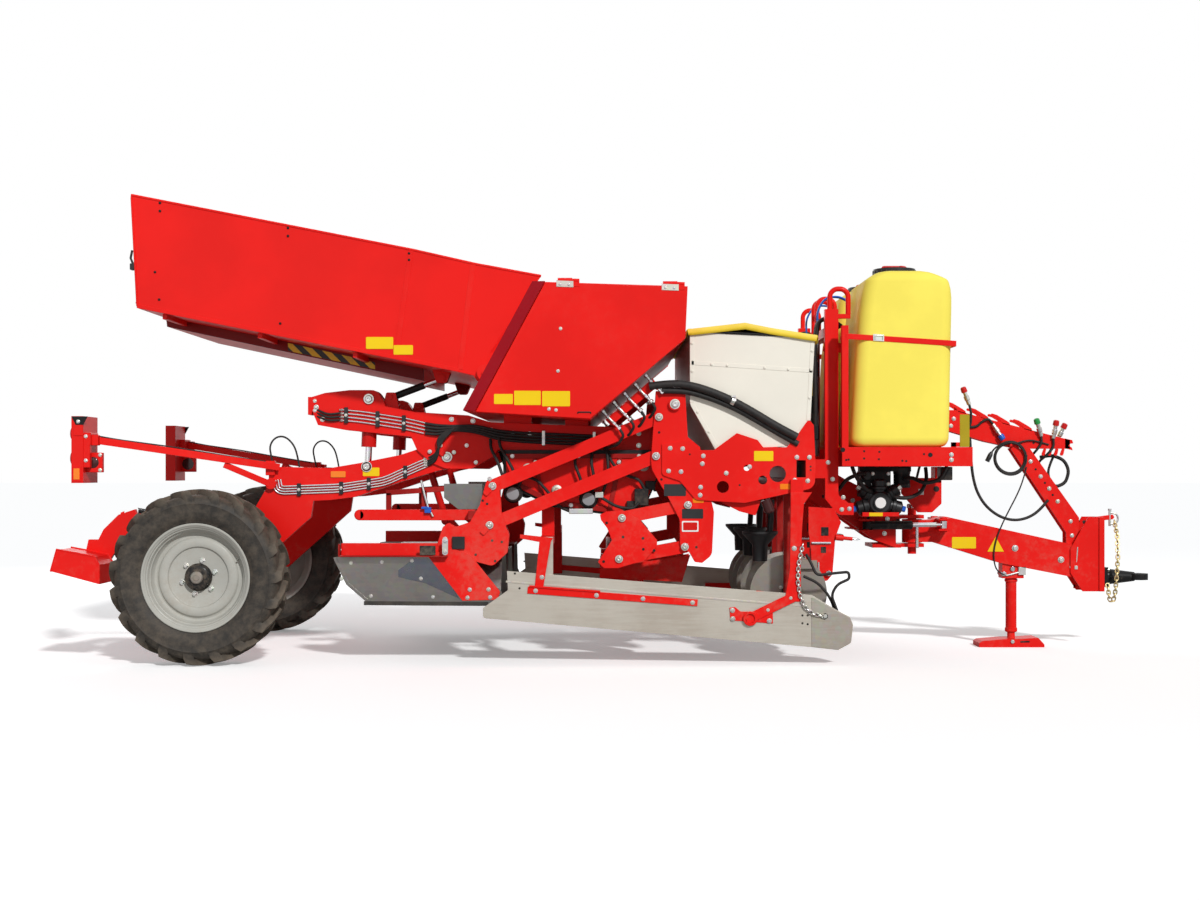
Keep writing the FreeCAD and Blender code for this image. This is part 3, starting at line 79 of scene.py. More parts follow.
def turned_back(faces):
    """The same faces, seen from their other side."""
    return [face[::-1] for face in faces]


def joined(*solids):
    """Several solids as one, their points one after the other."""
    points, faces, start = [], [], 0
    for p, f in solids:
        points.append(np.asarray(p, float))
        faces += [[i + start for i in face] for face in f]
        start += len(p)
    return np.concatenate(points), faces


def moved(solid, by):
    """The same solid, each point shifted by one vector."""
    return solid[0] + np.asarray(by), solid[1]


def mirrored(solid):
    """The same solid on the other side of the machine: Y changes its sign, and so does each face."""
    return np.asarray(solid[0]) * (1, -1, 1), turned_back(solid[1])


def on_side(solid, side):
    """A solid made for the right-hand side, or its twin for the left."""
    return solid if side == RIGHT else mirrored(solid)


def copies(solid, places):
    """One solid repeated at many places: every point plus every place, as one array."""
    points, faces = solid
    places = np.asarray(places, float)
    repeated = (points[None] + places[:, None]).reshape(-1, 3)
    return repeated, [[i + k * len(points) for i in face] for k in range(len(places)) for face in faces]


print("a grid of 3 by 4 points has", len(grid_faces(3, 4)), "faces")


# %% Round bars along a path
def tube(path, radius, sides):
    """A round bar: a circle carried along a path, its plane square to the path at each point."""
    path = np.asarray(path, float)
    ahead = np.gradient(path, axis=0)
    ahead /= np.linalg.norm(ahead, axis=1)[:, None]
    upright = np.array((0.0, 1.0, 0.0)) if abs(ahead[:, 1]).max() < 0.9 else np.array((1.0, 0.0, 0.15))
    across = np.cross(ahead, upright)
    across /= np.linalg.norm(across, axis=1)[:, None]
    other = np.cross(across, ahead)
    turn = np.linspace(0, 2 * np.pi, sides, endpoint=False)
    ring = np.cos(turn)[None, :, None] * across[:, None] + np.sin(turn)[None, :, None] * other[:, None]
    faces = grid_faces(len(path), sides, close_columns=True)
    last = (len(path) - 1) * sides
    faces += [list(range(sides)), list(range(last + sides - 1, last - 1, -1))]
    return (path[:, None] + radius * ring).reshape(-1, 3), turned_back(faces)


def rounded(corners, radius, steps=6):
    """A path of straight runs whose corners are arcs: each corner is cut back by its tangent
    length and filled with a quadratic curve that leaves both runs smoothly."""
    corners = np.asarray(corners, float)
    path = [corners[:1]]
    t = np.linspace(0, 1, steps)[:, None]
    for before, at, after in zip(corners, corners[1:], corners[2:]):
        back, on = before - at, after - at
        reach = min(radius, 0.45 * np.linalg.norm(back), 0.45 * np.linalg.norm(on))
        first = at + back / np.linalg.norm(back) * reach
        last = at + on / np.linalg.norm(on) * reach
        path.append((1 - t) ** 2 * first + 2 * t * (1 - t) * at + t ** 2 * last)
    path.append(corners[-1:])
    return np.concatenate(path)


print("a path of two runs has", len(rounded([(0, 0), (9, 0), (9, 9)], 2)), "points")


# %% Turned shapes
def lathe(profile, steps=32, axis="Y", at=(0, 0, 0)):
    """A turned piece: its profile of (radius, distance along the axis) swept round that axis."""
    profile = np.asarray(profile, float)
    closed = bool(np.allclose(profile[0], profile[-1]))
    if closed:
        profile = profile[:-1]
    turn = np.linspace(0, 2 * np.pi, steps, endpoint=False)[:, None]
    r, h = profile.T[:, None]
    a, b = r * np.cos(turn), r * np.sin(turn)
    h = np.broadcast_to(h, a.shape)
    order = {"X": (h, a, b), "Y": (b, h, a), "Z": (a, b, h)}[axis]
    points = np.stack(order, -1).reshape(-1, 3) + np.asarray(at)
    count = len(profile)
    if closed:
        return points, grid_faces(steps, count, True, True)
    ends = [[i * count for i in range(steps)], [i * count + count - 1 for i in range(steps)][::-1]]
    return points, grid_faces(steps, count, close_rows=True) + ends


print("a washer has", len(lathe([(5, 0), (9, 0), (9, 1), (5, 1), (5, 0)], 12)[1]), "faces")


# %% Flat plates, strips and boxes
def plate(outline, near, far):
    """A flat plate: an outline in X and Z, between two depths along Y."""
    outline = np.asarray(outline, float)
    count = len(outline)
    rings = [np.insert(outline, 1, y, axis=1) for y in (near, far)]
    faces = [[i, (i + 1) % count, (i + 1) % count + count, i + count] for i in range(count)]
    faces += [list(range(count))[::-1], list(range(count, 2 * count))]
    x, z = outline.T
    turn = np.sum(x * np.roll(z, -1) - np.roll(x, -1) * z)
    inward = (turn > 0) == (far > near)
    return np.concatenate(rings), turned_back(faces) if inward else faces


def slab(low, high):
    """A box between two corners."""
    (x0, y0, z0), (x1, y1, z1) = low, high
    return plate([(x0, z0), (x1, z0), (x1, z1), (x0, z1)], y0, y1)


def ribbon(path, width, near, far):
    """A flat strip along a line in X and Z: the line moved half a width to each side."""
    path = np.asarray(path, float)
    ahead = np.gradient(path, axis=0)
    out = np.stack((-ahead[:, 1], ahead[:, 0]), -1) / np.linalg.norm(ahead, axis=1)[:, None] * width / 2
    return plate(np.concatenate((path + out, (path - out)[::-1])), near, far)


def web(near, far):
    """A flat strip between two edges, each a pair of points, 2 mm thick along its normal."""
    a, b = np.asarray(near, float), np.asarray(far, float)
    normal = np.cross(a[1] - a[0], b[0] - a[0])
    ring = np.array((a[0], a[1], b[1], b[0]))
    return (np.concatenate((ring, ring + normal * 2 / np.linalg.norm(normal))),
            [[0, 1, 2, 3], [7, 6, 5, 4], [0, 4, 5, 1], [1, 5, 6, 2], [2, 6, 7, 3], [3, 7, 4, 0]])


def aimed(solid, start, ahead):
    """A solid made along Z, laid along another direction from its starting point."""
    z = np.asarray(ahead, float) / np.linalg.norm(ahead)
    x = np.cross((0.0, 1.0, 0.001) if abs(z[1]) < 0.9 else (1.0, 0.0, 0.0), z)
    x /= np.linalg.norm(x)
    points, faces = solid
    return np.asarray(points) @ np.array((x, np.cross(z, x), z)) + np.asarray(start), faces


print("a box has", len(slab((0, 0, 0), (1, 1, 1))[1]), "faces")

# %% [markdown]
# ## From arrays to a piece that rides on its body
# The frame's bodies are what moves. Each piece is told which one carries it, and then a pose
# takes it along. Blender works in metres, so the points are divided by a thousand here and nowhere
# else. A small bevel is live on the flat pieces, because no cut steel edge is knife sharp.

# %% Make one piece
made, untold = {}, []


def in_scene(name, data):
    """An object that shows this mesh, curve, lamp or camera, linked to the scene."""
    obj = bpy.data.objects.new(name, data)
    bpy.context.scene.collection.objects.link(obj)
    return obj


def piece(name, solid, body, finish, slot=None, smooth=30, bevel=0, replaces=()):
    """A named object from a solid; smooth is the crease angle in degrees, bevel its edge width."""
    points, faces = solid
    mesh = bpy.data.meshes.new(name)
    mesh.from_pydata((np.asarray(points, float) / 1000).tolist(), [], faces)
    shell = bmesh.new()
    shell.from_mesh(mesh)
    bmesh.ops.recalc_face_normals(shell, faces=shell.faces)
    shell.to_mesh(mesh)
    shell.free()
    obj = in_scene(name, mesh)
    mesh.materials.append(finish)
    if smooth:
        mesh.polygons.foreach_set("use_smooth", np.ones(len(mesh.polygons), bool))
        mesh.set_sharp_from_angle(angle=math.radians(smooth))
    if bevel:
        edge = obj.modifiers.new("edge", "BEVEL")
        edge.width, edge.segments, edge.limit_method = bevel / 1000, 2, "ANGLE"
        edge.harden_normals = True
    if body:
        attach(obj, body)
    if replaces:
        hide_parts(*replaces)
    made[name] = len(faces)
    untold.append(name)
    return obj


def two(name, solid, body, finish, **more):
    """A piece made for the right-hand side, and its twin on the left."""
    for word, side in SIDES.items():
        piece(f"{name}_{word}", on_side(solid, side), body.format(word), finish, **more)


def tell(what):
    """Print how many pieces were made since the last call, and how many faces they have."""
    print(what + ":", len(untold), "pieces,", sum(made[name] for name in untold), "faces")
    untold.clear()


print(len(nodes), "frame nodes wait for their pieces")

# %% [markdown]
# ## Shader maths in plain Python
# A material is a small calculation at every point of a surface. `Value` wraps one socket, and its
# operators add the Math nodes, so that a mask reads like an expression. `Maker.node` adds any
# other node: its settings come first, because they decide which sockets it has. Linking nodes one
# by one would say the same in three times the lines.

# %% Arithmetic on sockets
class Value:
    """One socket that Python's arithmetic works on."""

    def __init__(self, maker, socket):
        self.maker, self.socket = maker, socket

    def math(self, operation, first, second):
        """A Math node between two values, of which one may be a plain number."""
        return self.maker.node("ShaderNodeMath", {"operation": operation}, {0: first, 1: second})

    def __add__(self, other):
        return self.math("ADD", self, other)

    def __sub__(self, other):
        return self.math("SUBTRACT", self, other)

    def __rsub__(self, other):
        return self.math("SUBTRACT", other, self)

    def __mul__(self, other):
        return self.math("MULTIPLY", self, other)

    def __gt__(self, other):
        return self.math("GREATER_THAN", self, other)

    def __or__(self, other):
        return self.math("MAXIMUM", self, other)

    __radd__, __rmul__ = __add__, __mul__


print("a Value knows + - * > and |, which takes the larger of two")


# %% A maker of materials
class Maker:
    """One material, or the world, while its nodes are being made."""

    def __init__(self, name, world=None):
        self.owner = world or bpy.data.materials.new(name)
        self.owner.use_nodes = True
        self.tree = self.owner.node_tree
        self.tree.nodes.clear()
        self.place = self.node("ShaderNodeTexCoord", {}, {}, "Object")

    def node(self, kind, settings, inputs, output=0):
        """A node of any kind: first its settings, then the values or links of its sockets."""
        made_node = self.tree.nodes.new(kind)
        for name, value in settings.items():
            setattr(made_node, name, value)
        for name, value in inputs.items():
            socket = made_node.inputs[name]
            if isinstance(value, Value):
                self.tree.links.new(value.socket, socket)
            else:
                socket.default_value = value
        return Value(self, made_node.outputs[output]) if len(made_node.outputs) else None

    def noise(self, scale, detail, roughness=0.55, place=None):
        """Soft noise between 0 and 1; its features are about 1 / scale metres wide."""
        inputs = {"Vector": place or self.place, "Scale": scale, "Detail": detail, "Roughness": roughness}
        return self.node("ShaderNodeTexNoise", {}, inputs)

    def step(self, value, low, high):
        """0 below low and 1 above high, smooth between them."""
        inputs = {"Value": value, "From Min": low, "From Max": high}
        return self.node("ShaderNodeMapRange", {"interpolation_type": "SMOOTHSTEP"}, inputs)

    def mix(self, mask, first, second):
        """The first colour where the mask is 0, the second where it is 1."""
        first, second = ((*c, 1) if isinstance(c, tuple) else c for c in (first, second))
        return self.node("ShaderNodeMix", {"data_type": "RGBA"}, {0: mask, 6: first, 7: second}, 2)

    def axis(self, name):
        """The X, Y or Z of the point, in metres."""
        return self.node("ShaderNodeSeparateXYZ", {}, {0: self.place}, "XYZ".index(name))

    def bump(self, height, strength, distance, normal=None):
        """A normal tilted by the slope of a height, on top of another normal if one is given."""
        inputs = {"Height": height, "Strength": strength, "Distance": distance}
        if normal:
            inputs["Normal"] = normal
        return self.node("ShaderNodeBump", {}, inputs)

    def edges(self, radius):
        """The normal of an edge rounded by this radius, for plates whose mesh has sharp edges."""
        return self.node("ShaderNodeBevel", {"samples": 4}, {"Radius": radius})

    def finish(self, **sockets):
        """The shader and the output; each word stands for one socket of Principled BSDF."""
        names = {"colour": "Base Color", "roughness": "Roughness", "metallic": "Metallic", "normal": "Normal",
                 "coat": "Coat Weight", "coat_roughness": "Coat Roughness", "specular": "Specular IOR Level",
                 "glow": "Emission Color", "glow_strength": "Emission Strength"}
        inputs = {names[word]: (*value, 1) if isinstance(value, tuple) else value for word, value in sockets.items()}
        shader = self.node("ShaderNodeBsdfPrincipled", {}, inputs)
        self.node("ShaderNodeOutputMaterial", {}, {"Surface": shader})
        return self.owner


print("a maker knows", [name for name in vars(Maker) if not name.startswith("__")])

# %% [markdown]
# ## Finishes: paint
# Enamel over steel is glossy, a little uneven, and dusty where soil flies up. One flat colour would
# look like plastic, and a drawn texture would have to be unwrapped for every plate. So each paint is
# worked out from the place: large soft tones, a fine skin, and dust that grows towards the ground.

# %% Enamel and other paints
DUST = (0.33, 0.26, 0.19)
ENAMEL_RED = (0.80, 0.012, 0.009)


def soft_tone(m):
    """A large noise, and a mask between its low and high places."""
    broad = m.noise(1.6, 4.0)
    return broad, m.step(broad, 0.35, 0.65)


def orange_peel(m):
    """The fine skin of sprayed paint, on plates whose edges look rounded by 3 mm."""
    return m.bump(m.noise(240.0, 2.0), 0.05, 0.0006, m.edges(0.003))


def enamel(name, colour, dust=0.14, gloss=0.34, shade=0.90):
    """Glossy paint: large soft tone changes, fine orange peel, and dust that grows towards the ground."""
    m = Maker(name)
    broad, patches = soft_tone(m)
    fine = m.noise(22.0, 6.0, 0.7)
    low = 1 - m.step(m.axis("Z"), 0.2, 1.5)
    dirt = m.step(fine * 0.5 + broad * 0.5, 0.47, 0.68) * (low * 0.8 + 0.12) * dust * 2
    deep = tuple(c * shade for c in colour)
    tone = m.mix(patches, deep, colour)
    return m.finish(colour=m.mix(dirt, tone, DUST), roughness=dirt * 0.5 + gloss, coat=0.05 - dirt * 0.05,
                    coat_roughness=0.15, specular=0.10, normal=orange_peel(m))


red = enamel("red_enamel", ENAMEL_RED)
barrel_red = enamel("ram_enamel", (0.62, 0.010, 0.008), dust=0.1, gloss=0.26)
# painted shade: a darker red for parts that stand in shade, and for a dark joint line on the hanger
shade_and_joint_red = enamel("shade_and_joint_red_enamel", (0.36, 0.010, 0.009), shade=0.7)
# painted shade: the bunker's rear flange behind the side cover, which faces away from the light
flange_shade_red = enamel("flange_shade_enamel", (0.34, 0.003, 0.011), dust=0.03, shade=0.9)
cream = enamel("cream_enamel", (0.84, 0.80, 0.70), dust=0.08, gloss=0.42, shade=0.95)
black_paint = enamel("black_enamel", (0.016, 0.016, 0.017), dust=0.3, gloss=0.42, shade=0.7)
silver = enamel("silver_enamel", (0.43, 0.425, 0.385), dust=0.16, gloss=0.36, shade=0.86)
label_yellow = enamel("yellow_plate", (0.86, 0.58, 0.01), dust=0.05, gloss=0.4, shade=0.95)
label_white = enamel("white_plate", (0.80, 0.80, 0.78), dust=0.05, gloss=0.4, shade=0.97)
marker_olive = enamel("olive_plate", (0.42, 0.34, 0.02), dust=0.05, gloss=0.3, shade=0.8)
label_orange = enamel("orange_plate", (0.86, 0.22, 0.01), dust=0.05, gloss=0.3, shade=0.9)
print("paints:", sum(m.name.endswith(("enamel", "plate")) for m in bpy.data.materials), "finishes")


# %% [markdown]
# ## Finishes: metal
# Zinc sheet has spangles and a brown film, and ground pins are smooth and bright. One grain, drawn
# out along the sheet, gives the light its brushing and the film its edges. Where a sheet is painted
# in part, a mask worked out from the frame's axes says where, so no border has to be modelled.

# %% Bare and plated metal
SHEET_ZINC = (0.47, 0.44, 0.385)
FILM_BROWN = (0.27, 0.205, 0.155)


def grain_and_film(m):
    """Fine brushing drawn out along X and up Z, and a mask of brown film in soft patches of it."""
    streaks = m.node("ShaderNodeMapping", {}, {"Vector": m.place, "Scale": (0.35, 1.0, 5.0)})
    grain = m.noise(14.0, 8.0, 0.7, streaks)
    patch = m.noise(2.4, 6.0, 0.62)
    return grain, m.step(patch * 0.6 + grain * 0.4, 0.42, 0.66)


def plated(name, colour, roughness, film=0.0):
    """Bare metal with fine brushing, spangles of zinc and, where film is given, a brown film."""
    m = Maker(name)
    grain, patch = grain_and_film(m)
    spangle = m.node("ShaderNodeTexVoronoi", {}, {"Vector": m.place, "Scale": 38.0}, "Color")
    shine = m.mix(0.04 * sum(colour), colour, spangle)
    brown = patch * film
    rough = m.noise(9.0, 5.0) * 0.16 + roughness + brown * 0.25
    return m.finish(colour=m.mix(brown, shine, FILM_BROWN), roughness=rough, metallic=1 - brown * 0.75,
                    normal=m.bump(grain, 0.12, 0.0008, m.edges(0.0015)))


zinc = plated("zinc_sheet", SHEET_ZINC, 0.42, film=0.35)
bright_zinc = plated("bright_zinc", (0.60, 0.60, 0.57), 0.26)
blade_steel = plated("blade_steel", (0.24, 0.225, 0.20), 0.40, film=0.7)
chrome = plated("chrome", (0.74, 0.74, 0.76), 0.10)
wear_steel = plated("wear_steel", (0.33, 0.31, 0.27), 0.42, film=0.5)
cheek_steel = plated("cheek_steel", (0.205, 0.195, 0.185), 0.22, film=0.25)
# painted shade on the hood's reinforcing plate, its blue tint a painted reflection of the sky
shade_steel = plated("shaded_steel", (0.135, 0.145, 0.175), 0.16, film=0.1)
brass = plated("brass_chain", (0.66, 0.52, 0.25), 0.30)
print("steel and zinc:", sum(m.name.endswith(("steel", "zinc")) for m in bpy.data.materials), "finishes")


# %% Steel that is painted in part
def part_painted(name, bare, paint_on):
    """Sheet that is bare on one side of a mask and red enamel on the other; the mask is worked out
    from the frame's own axes by paint_on, which gives 1 where there is paint."""
    m = Maker(name)
    paint, fine = paint_on(m), m.noise(22.0, 6.0, 0.7)
    grain, patch = grain_and_film(m)
    film = patch * 0.35
    metal = m.mix(film, bare, FILM_BROWN)
    enamel_tone = m.mix(m.step(fine, 0.3, 0.8), ENAMEL_RED, (0.68, 0.012, 0.010))
    return m.finish(colour=m.mix(paint, metal, enamel_tone), metallic=(1 - film * 0.75) * (1 - paint),
                    roughness=fine * 0.12 + 0.44 - paint * 0.1, specular=0.12,
                    normal=m.bump(grain * (1 - paint), 0.10, 0.0008, m.edges(0.0015)))


SHEET_FACE, HANGER_Z, HANGER_X = 1.1795, 0.47, 0.8      # metres, as Object coordinates are


def shield_paint(m):
    """The shield's hanger and arms are red: all that lies inside the sheet's outer face, and in front
    all that stands above it."""
    y = m.axis("Y")
    return 1 - (y * y > SHEET_FACE ** 2) * (1 - (m.axis("Z") > HANGER_Z) * (m.axis("X") > HANGER_X))


shield_sheet = part_painted("shield_sheet", SHEET_ZINC, shield_paint)
print(shield_sheet.name, "has", len(shield_sheet.node_tree.nodes), "nodes")


# %% The hopper's enamel, with painted shade on its trough
TROUGH_INNER, TROUGH_OUTER = 0.70, 0.80      # metres: the trough's side walls lie between them
HOPPER_EDGE, HOPPER_SLOPE = 1.640, 0.1985    # the lower edge's height at X = 0, and its rise to the tail


def trough(m):
    """1 on the trough's side walls, which lie between two depths and below the sloping lower edge."""
    y = m.axis("Y")
    wall = (y * y > TROUGH_INNER ** 2) * (1 - (y * y > TROUGH_OUTER ** 2))
    return wall * (1 - (m.axis("Z") + m.axis("X") * HOPPER_SLOPE > HOPPER_EDGE))


def enamel_with_painted_shade(name, colour, shaded, mask):
    """Enamel in two tones, the second where the mask is 1: painted shade on the trough walls under the hopper."""
    m = Maker(name)
    patches, fine = soft_tone(m)[1], m.noise(22.0, 6.0, 0.7)
    lit = m.mix(patches, tuple(c * 0.9 for c in colour), colour)
    return m.finish(colour=m.mix(mask(m), lit, shaded), roughness=fine * 0.1 + 0.30, coat=0.05,
                    coat_roughness=0.15, specular=0.10, normal=orange_peel(m))


# the trough walls under the hopper get a darker red: painted shade
hopper_red_with_shade = enamel_with_painted_shade("hopper_enamel_with_shade", ENAMEL_RED, (0.20, 0.007, 0.007), trough)
print(hopper_red_with_shade.name, "has", len(hopper_red_with_shade.node_tree.nodes), "nodes")

# %% [markdown]
# ## Finishes: rubber, plastic and cloth
# Tyres are matt and hold dry soil on their tread, blown tanks have a fine pebble skin, and the cover
# is a coated weave. Each finish is one function of a colour and a few numbers, so it is easy to
# retune. Soil that was painted on by hand couldn't follow the wheel's radius so closely.

# %% Rubber and plastic
AXLE_X, AXLE_Z = -2740, 560      # millimetres


def rubber(name, colour, dusty, scale, tread=0.0):
    """Matt rubber; dry soil stays on it in soft patches, and more of it on a tread, far from the axle."""
    m = Maker(name)
    soil = m.step(m.noise(scale, 9.0, 0.72), 0.30, 0.78) * dusty
    if tread:
        x, z = m.axis("X") - AXLE_X / 1000, m.axis("Z") - AXLE_Z / 1000
        soil = soil + m.step(x * x + z * z, 0.485 ** 2, 0.556 ** 2) * tread
    tone = m.mix(soil, colour, (0.17, 0.135, 0.100))
    return m.finish(colour=tone, roughness=soil * 0.3 + 0.60, specular=0.3,
                    normal=m.bump(m.noise(160.0, 3.0), 0.25, 0.0008))


tread_rubber = rubber("tyre_rubber", (0.020, 0.018, 0.016), 0.45, 16.0, tread=0.42)
hose_rubber = rubber("hose_rubber", (0.010, 0.010, 0.011), 0.12, 30.0)
belt_rubber = rubber("belt_rubber", (0.018, 0.018, 0.018), 0.35, 5.0)


def moulded(name, colour, roughness, pebble=90.0, depth=0.12, specular=0.3):
    """Moulded plastic with a fine pebble skin and a slightly paler bloom in places."""
    m = Maker(name)
    bloom = m.step(m.noise(3.0, 4.0), 0.4, 0.7)
    paler = tuple(min(1.0, c * 1.06 + 0.004) for c in colour)
    return m.finish(colour=m.mix(bloom, colour, paler), roughness=bloom * 0.12 + roughness, specular=specular,
                    normal=m.bump(m.noise(pebble, 3.0), depth, 0.0012))


tank_yellow = moulded("tank_plastic", (0.90, 0.76, 0.115), 0.58, 60.0, 0.08, specular=0.08)
black_plastic = moulded("black_plastic", (0.014, 0.014, 0.015), 0.34)
lamp_red = moulded("lamp_red", (0.45, 0.006, 0.006), 0.12, 30.0, 0.05)
lamp_amber = moulded("lamp_amber", (0.85, 0.20, 0.008), 0.12, 30.0, 0.05)
lamp_dark = moulded("lamp_dark", (0.05, 0.012, 0.012), 0.08, 30.0, 0.05)
cap_blue = moulded("blue_cap", (0.012, 0.10, 0.50), 0.3)
cap_green = moulded("green_cap", (0.02, 0.28, 0.06), 0.3)
cap_red = moulded("red_cap", (0.55, 0.01, 0.01), 0.3)
hook_grey = moulded("grey_cap", (0.25, 0.26, 0.27), 0.35)
print(len(bpy.data.materials), "finishes so far")


# %% Coated cloth and warning stripes
def tarpaulin_cloth():
    """Coated yellow cloth: a fine weave across X and Y, and paler worn folds."""
    m = Maker("tarpaulin_cloth")
    warp, weft = (m.node("ShaderNodeTexWave", {"wave_type": "BANDS", "bands_direction": way},
                         {"Vector": m.place, "Scale": 160.0}, "Fac") for way in "XY")
    soft = m.noise(4.0, 5.0)
    tone = m.mix(m.step(soft, 0.4, 0.65), (0.76, 0.53, 0.018), (0.86, 0.62, 0.03))
    return m.finish(colour=tone, roughness=0.5, normal=m.bump(warp * weft + soft, 0.15, 0.0008))


def stripes(name, slope, width):
    """Warning stripes, black on yellow: a saw of X plus slope times Z, cut at its middle."""
    m = Maker(name)
    saw = m.node("ShaderNodeMath", {"operation": "FRACT"}, {0: (m.axis("X") + m.axis("Z") * slope) * (1 / width)})
    worn = m.noise(30.0, 5.0)
    yellow = m.mix(m.step(worn, 0.4, 0.8), (0.80, 0.50, 0.01), (0.55, 0.36, 0.04))
    return m.finish(colour=m.mix(saw > 0.5, yellow, (0.012, 0.012, 0.012)), roughness=0.45)


cloth = tarpaulin_cloth()
hazard = stripes("hazard_stripes", 1.0, 0.10)
print(len(bpy.data.materials), "finishes in all")

# %% Give the frame's own nodes their finish
NODE_FINISH = {
    "red_paint": red, "dark_red_paint": red, "cream_paint": cream, "galvanised_sheet": zinc,
    "tank_plastic": tank_yellow, "black_plastic": black_plastic, "tyre": tread_rubber,
    "rim_silver": silver, "chrome_rod": chrome, "black_paint": black_paint, "tarpaulin": cloth,
    "hose_rubber": hose_rubber, "disc_steel": blade_steel, "zinc_steel": red}
# the cross tubes take the darker red as painted shade, since they stand mostly in shade
OWN_FINISH = {
    "side_shields": shield_sheet, "ridge_hood": cheek_steel, "cross_tubes": shade_and_joint_red, "tipping_hopper": hopper_red_with_shade,
    "lift_barrel_right": barrel_red, "lift_barrel_left": barrel_red, "hood_barrels": barrel_red}
for part in frame["record"]["subparts"]:
    mesh = nodes[part["node"]].data
    mesh.materials.clear()
    mesh.materials.append(OWN_FINISH.get(part["node"], NODE_FINISH[part["material_slot"]]))

# %% [markdown]
# ## Camera, light and floor
# A long lens looks square at the machine's right-hand side. A soft sun, two weak area lamps and a
# pale sky light it, and the floor is plain. White behind the machine is what the camera and the
# gloss see, not more light on it, so the paint keeps its own colour.

# %% Camera
camera = in_scene("camera", bpy.data.cameras.new("camera"))
camera.data.sensor_width, camera.data.lens = 36.0, 50.52
camera.data.shift_x, camera.data.shift_y = -0.0025, 0.01667
camera.location = (-0.173, -11.875, 1.240)
camera.rotation_euler = (math.pi / 2, 0, 0)
camera.data.clip_end = 200
bpy.context.scene.camera = camera
bpy.context.scene.view_settings.view_transform = "Standard"
print("lens", round(camera.data.lens, 2), "mm at", round(-camera.location.y, 3), "m from the middle")


# %% Lamps
def lamp(name, kind, energy, place, aim, **settings):
    """A lamp at a place, turned so that it looks at its aim."""
    data = bpy.data.lights.new(name, kind)
    data.energy = energy
    for key, value in settings.items():
        setattr(data, key, value)
    obj = in_scene(name, data)
    obj.location = place
    look = np.array(aim, float) - np.array(place)
    obj.rotation_euler = (math.atan2(math.hypot(look[0], look[1]), -look[2]), 0,
                          math.atan2(-look[0], look[1]))


lamp("key", "SUN", 2.75, (4.0, -10.0, 7.6), (0, 0, 1), angle=math.radians(4))
lamp("fill", "AREA", 60, (-5.0, -9.0, 3.0), (0, 0, 1), size=6.0)
lamp("back", "AREA", 260, (-3.0, 8.0, 6.0), (0, 0, 1), size=6.0)
print(len(bpy.data.lights), "lamps")

# %% Sky
sky = bpy.data.worlds.new("sky")
bpy.context.scene.world = sky
m = Maker("sky", sky)
# camera, glass and gloss see plain white; everything else is lit by a pale blue of low strength
camera_ray, glass_ray, gloss_ray = (m.node("ShaderNodeLightPath", {}, {}, f"Is {kind} Ray")
                                    for kind in ("Camera", "Transmission", "Glossy"))
white = m.node("ShaderNodeBackground", {}, {"Color": (1, 1, 1, 1), "Strength": 1.0})
light = m.node("ShaderNodeBackground", {}, {"Color": (0.93, 0.96, 1.0, 1), "Strength": 0.30})
mixed = m.node("ShaderNodeMixShader", {}, {0: camera_ray | glass_ray | gloss_ray, 1: light, 2: white})
m.node("ShaderNodeOutputWorld", {}, {"Surface": mixed})
print("the sky has", len(sky.node_tree.nodes), "nodes")


# %% Floor
def floor_finish():
    """A pale floor; to the camera it is close to white, and what it throws back on the machine is less."""
    m = Maker("floor")
    seen = m.node("ShaderNodeLightPath", {}, {}, "Is Camera Ray")
    return m.finish(colour=m.mix(seen, (0.50, 0.50, 0.49), (0.98, 0.98, 0.975)), roughness=0.9, specular=0.0,
                    glow=m.mix(seen, (0, 0, 0), (1, 1, 1)), glow_strength=0.25)


reach = 150.0
floor_mesh = bpy.data.meshes.new("floor")
floor_mesh.from_pydata([(-reach, -reach, 0), (reach, -reach, 0), (reach, reach, 0), (-reach, reach, 0)], [],
                       [(0, 1, 2, 3)])
floor_mesh.materials.append(floor_finish())
floor = in_scene("floor", floor_mesh)
print("floor of", 2 * reach, "m")

# %% [markdown]
# ## Tyres and rims
# A field tyre is a smooth casing with two rows of bars that lean and meet near the middle. The
# casing is one turned profile. A bar is a small grid: across the tread its top falls away with the
# shoulder, and its middle line runs round the tyre as it goes outwards. Every bar is the same grid
# at another angle, which is far quicker than carving the tread out of a ring.

# %% Tyres
WHEEL_Y, OUTER, CASING = 1125, 560, 524
LUGS, SHOULDER = 19, 0.8


def tread_bar(side, angle):
    """One bar: s runs from the middle of the tread to low on the shoulder, and the bar's line
    turns back by a third of a radian on the way; four corners make its cross-section."""
    s = np.linspace(0, 1, 9)
    along = np.array((-6, *(20 + 142 * np.minimum(s[1:] / SHOULDER, 1)))) * side
    top = np.where(s < SHOULDER, OUTER - 1.5 - 16 * (s / SHOULDER) ** 3, 542.5 - (s - SHOULDER) * 420)
    base = np.where(s < SHOULDER, CASING - 12, 494 - (s - SHOULDER) * 300)
    middle = angle + 0.30 * s ** 0.9
    half_top = (17 + 7 * s) / OUTER
    half_base = half_top * 1.5
    ring = [np.stack((r * np.sin(middle + offset), along, r * np.cos(middle + offset)), -1) for r, offset in
            ((base, -half_base), (top, -half_top), (top, half_top), (base, half_base))]
    faces = grid_faces(len(s), 4, close_columns=True) + [[3, 2, 1, 0], [32, 33, 34, 35]]
    return np.stack(ring, 1).reshape(-1, 3), faces if side < 0 else turned_back(faces)


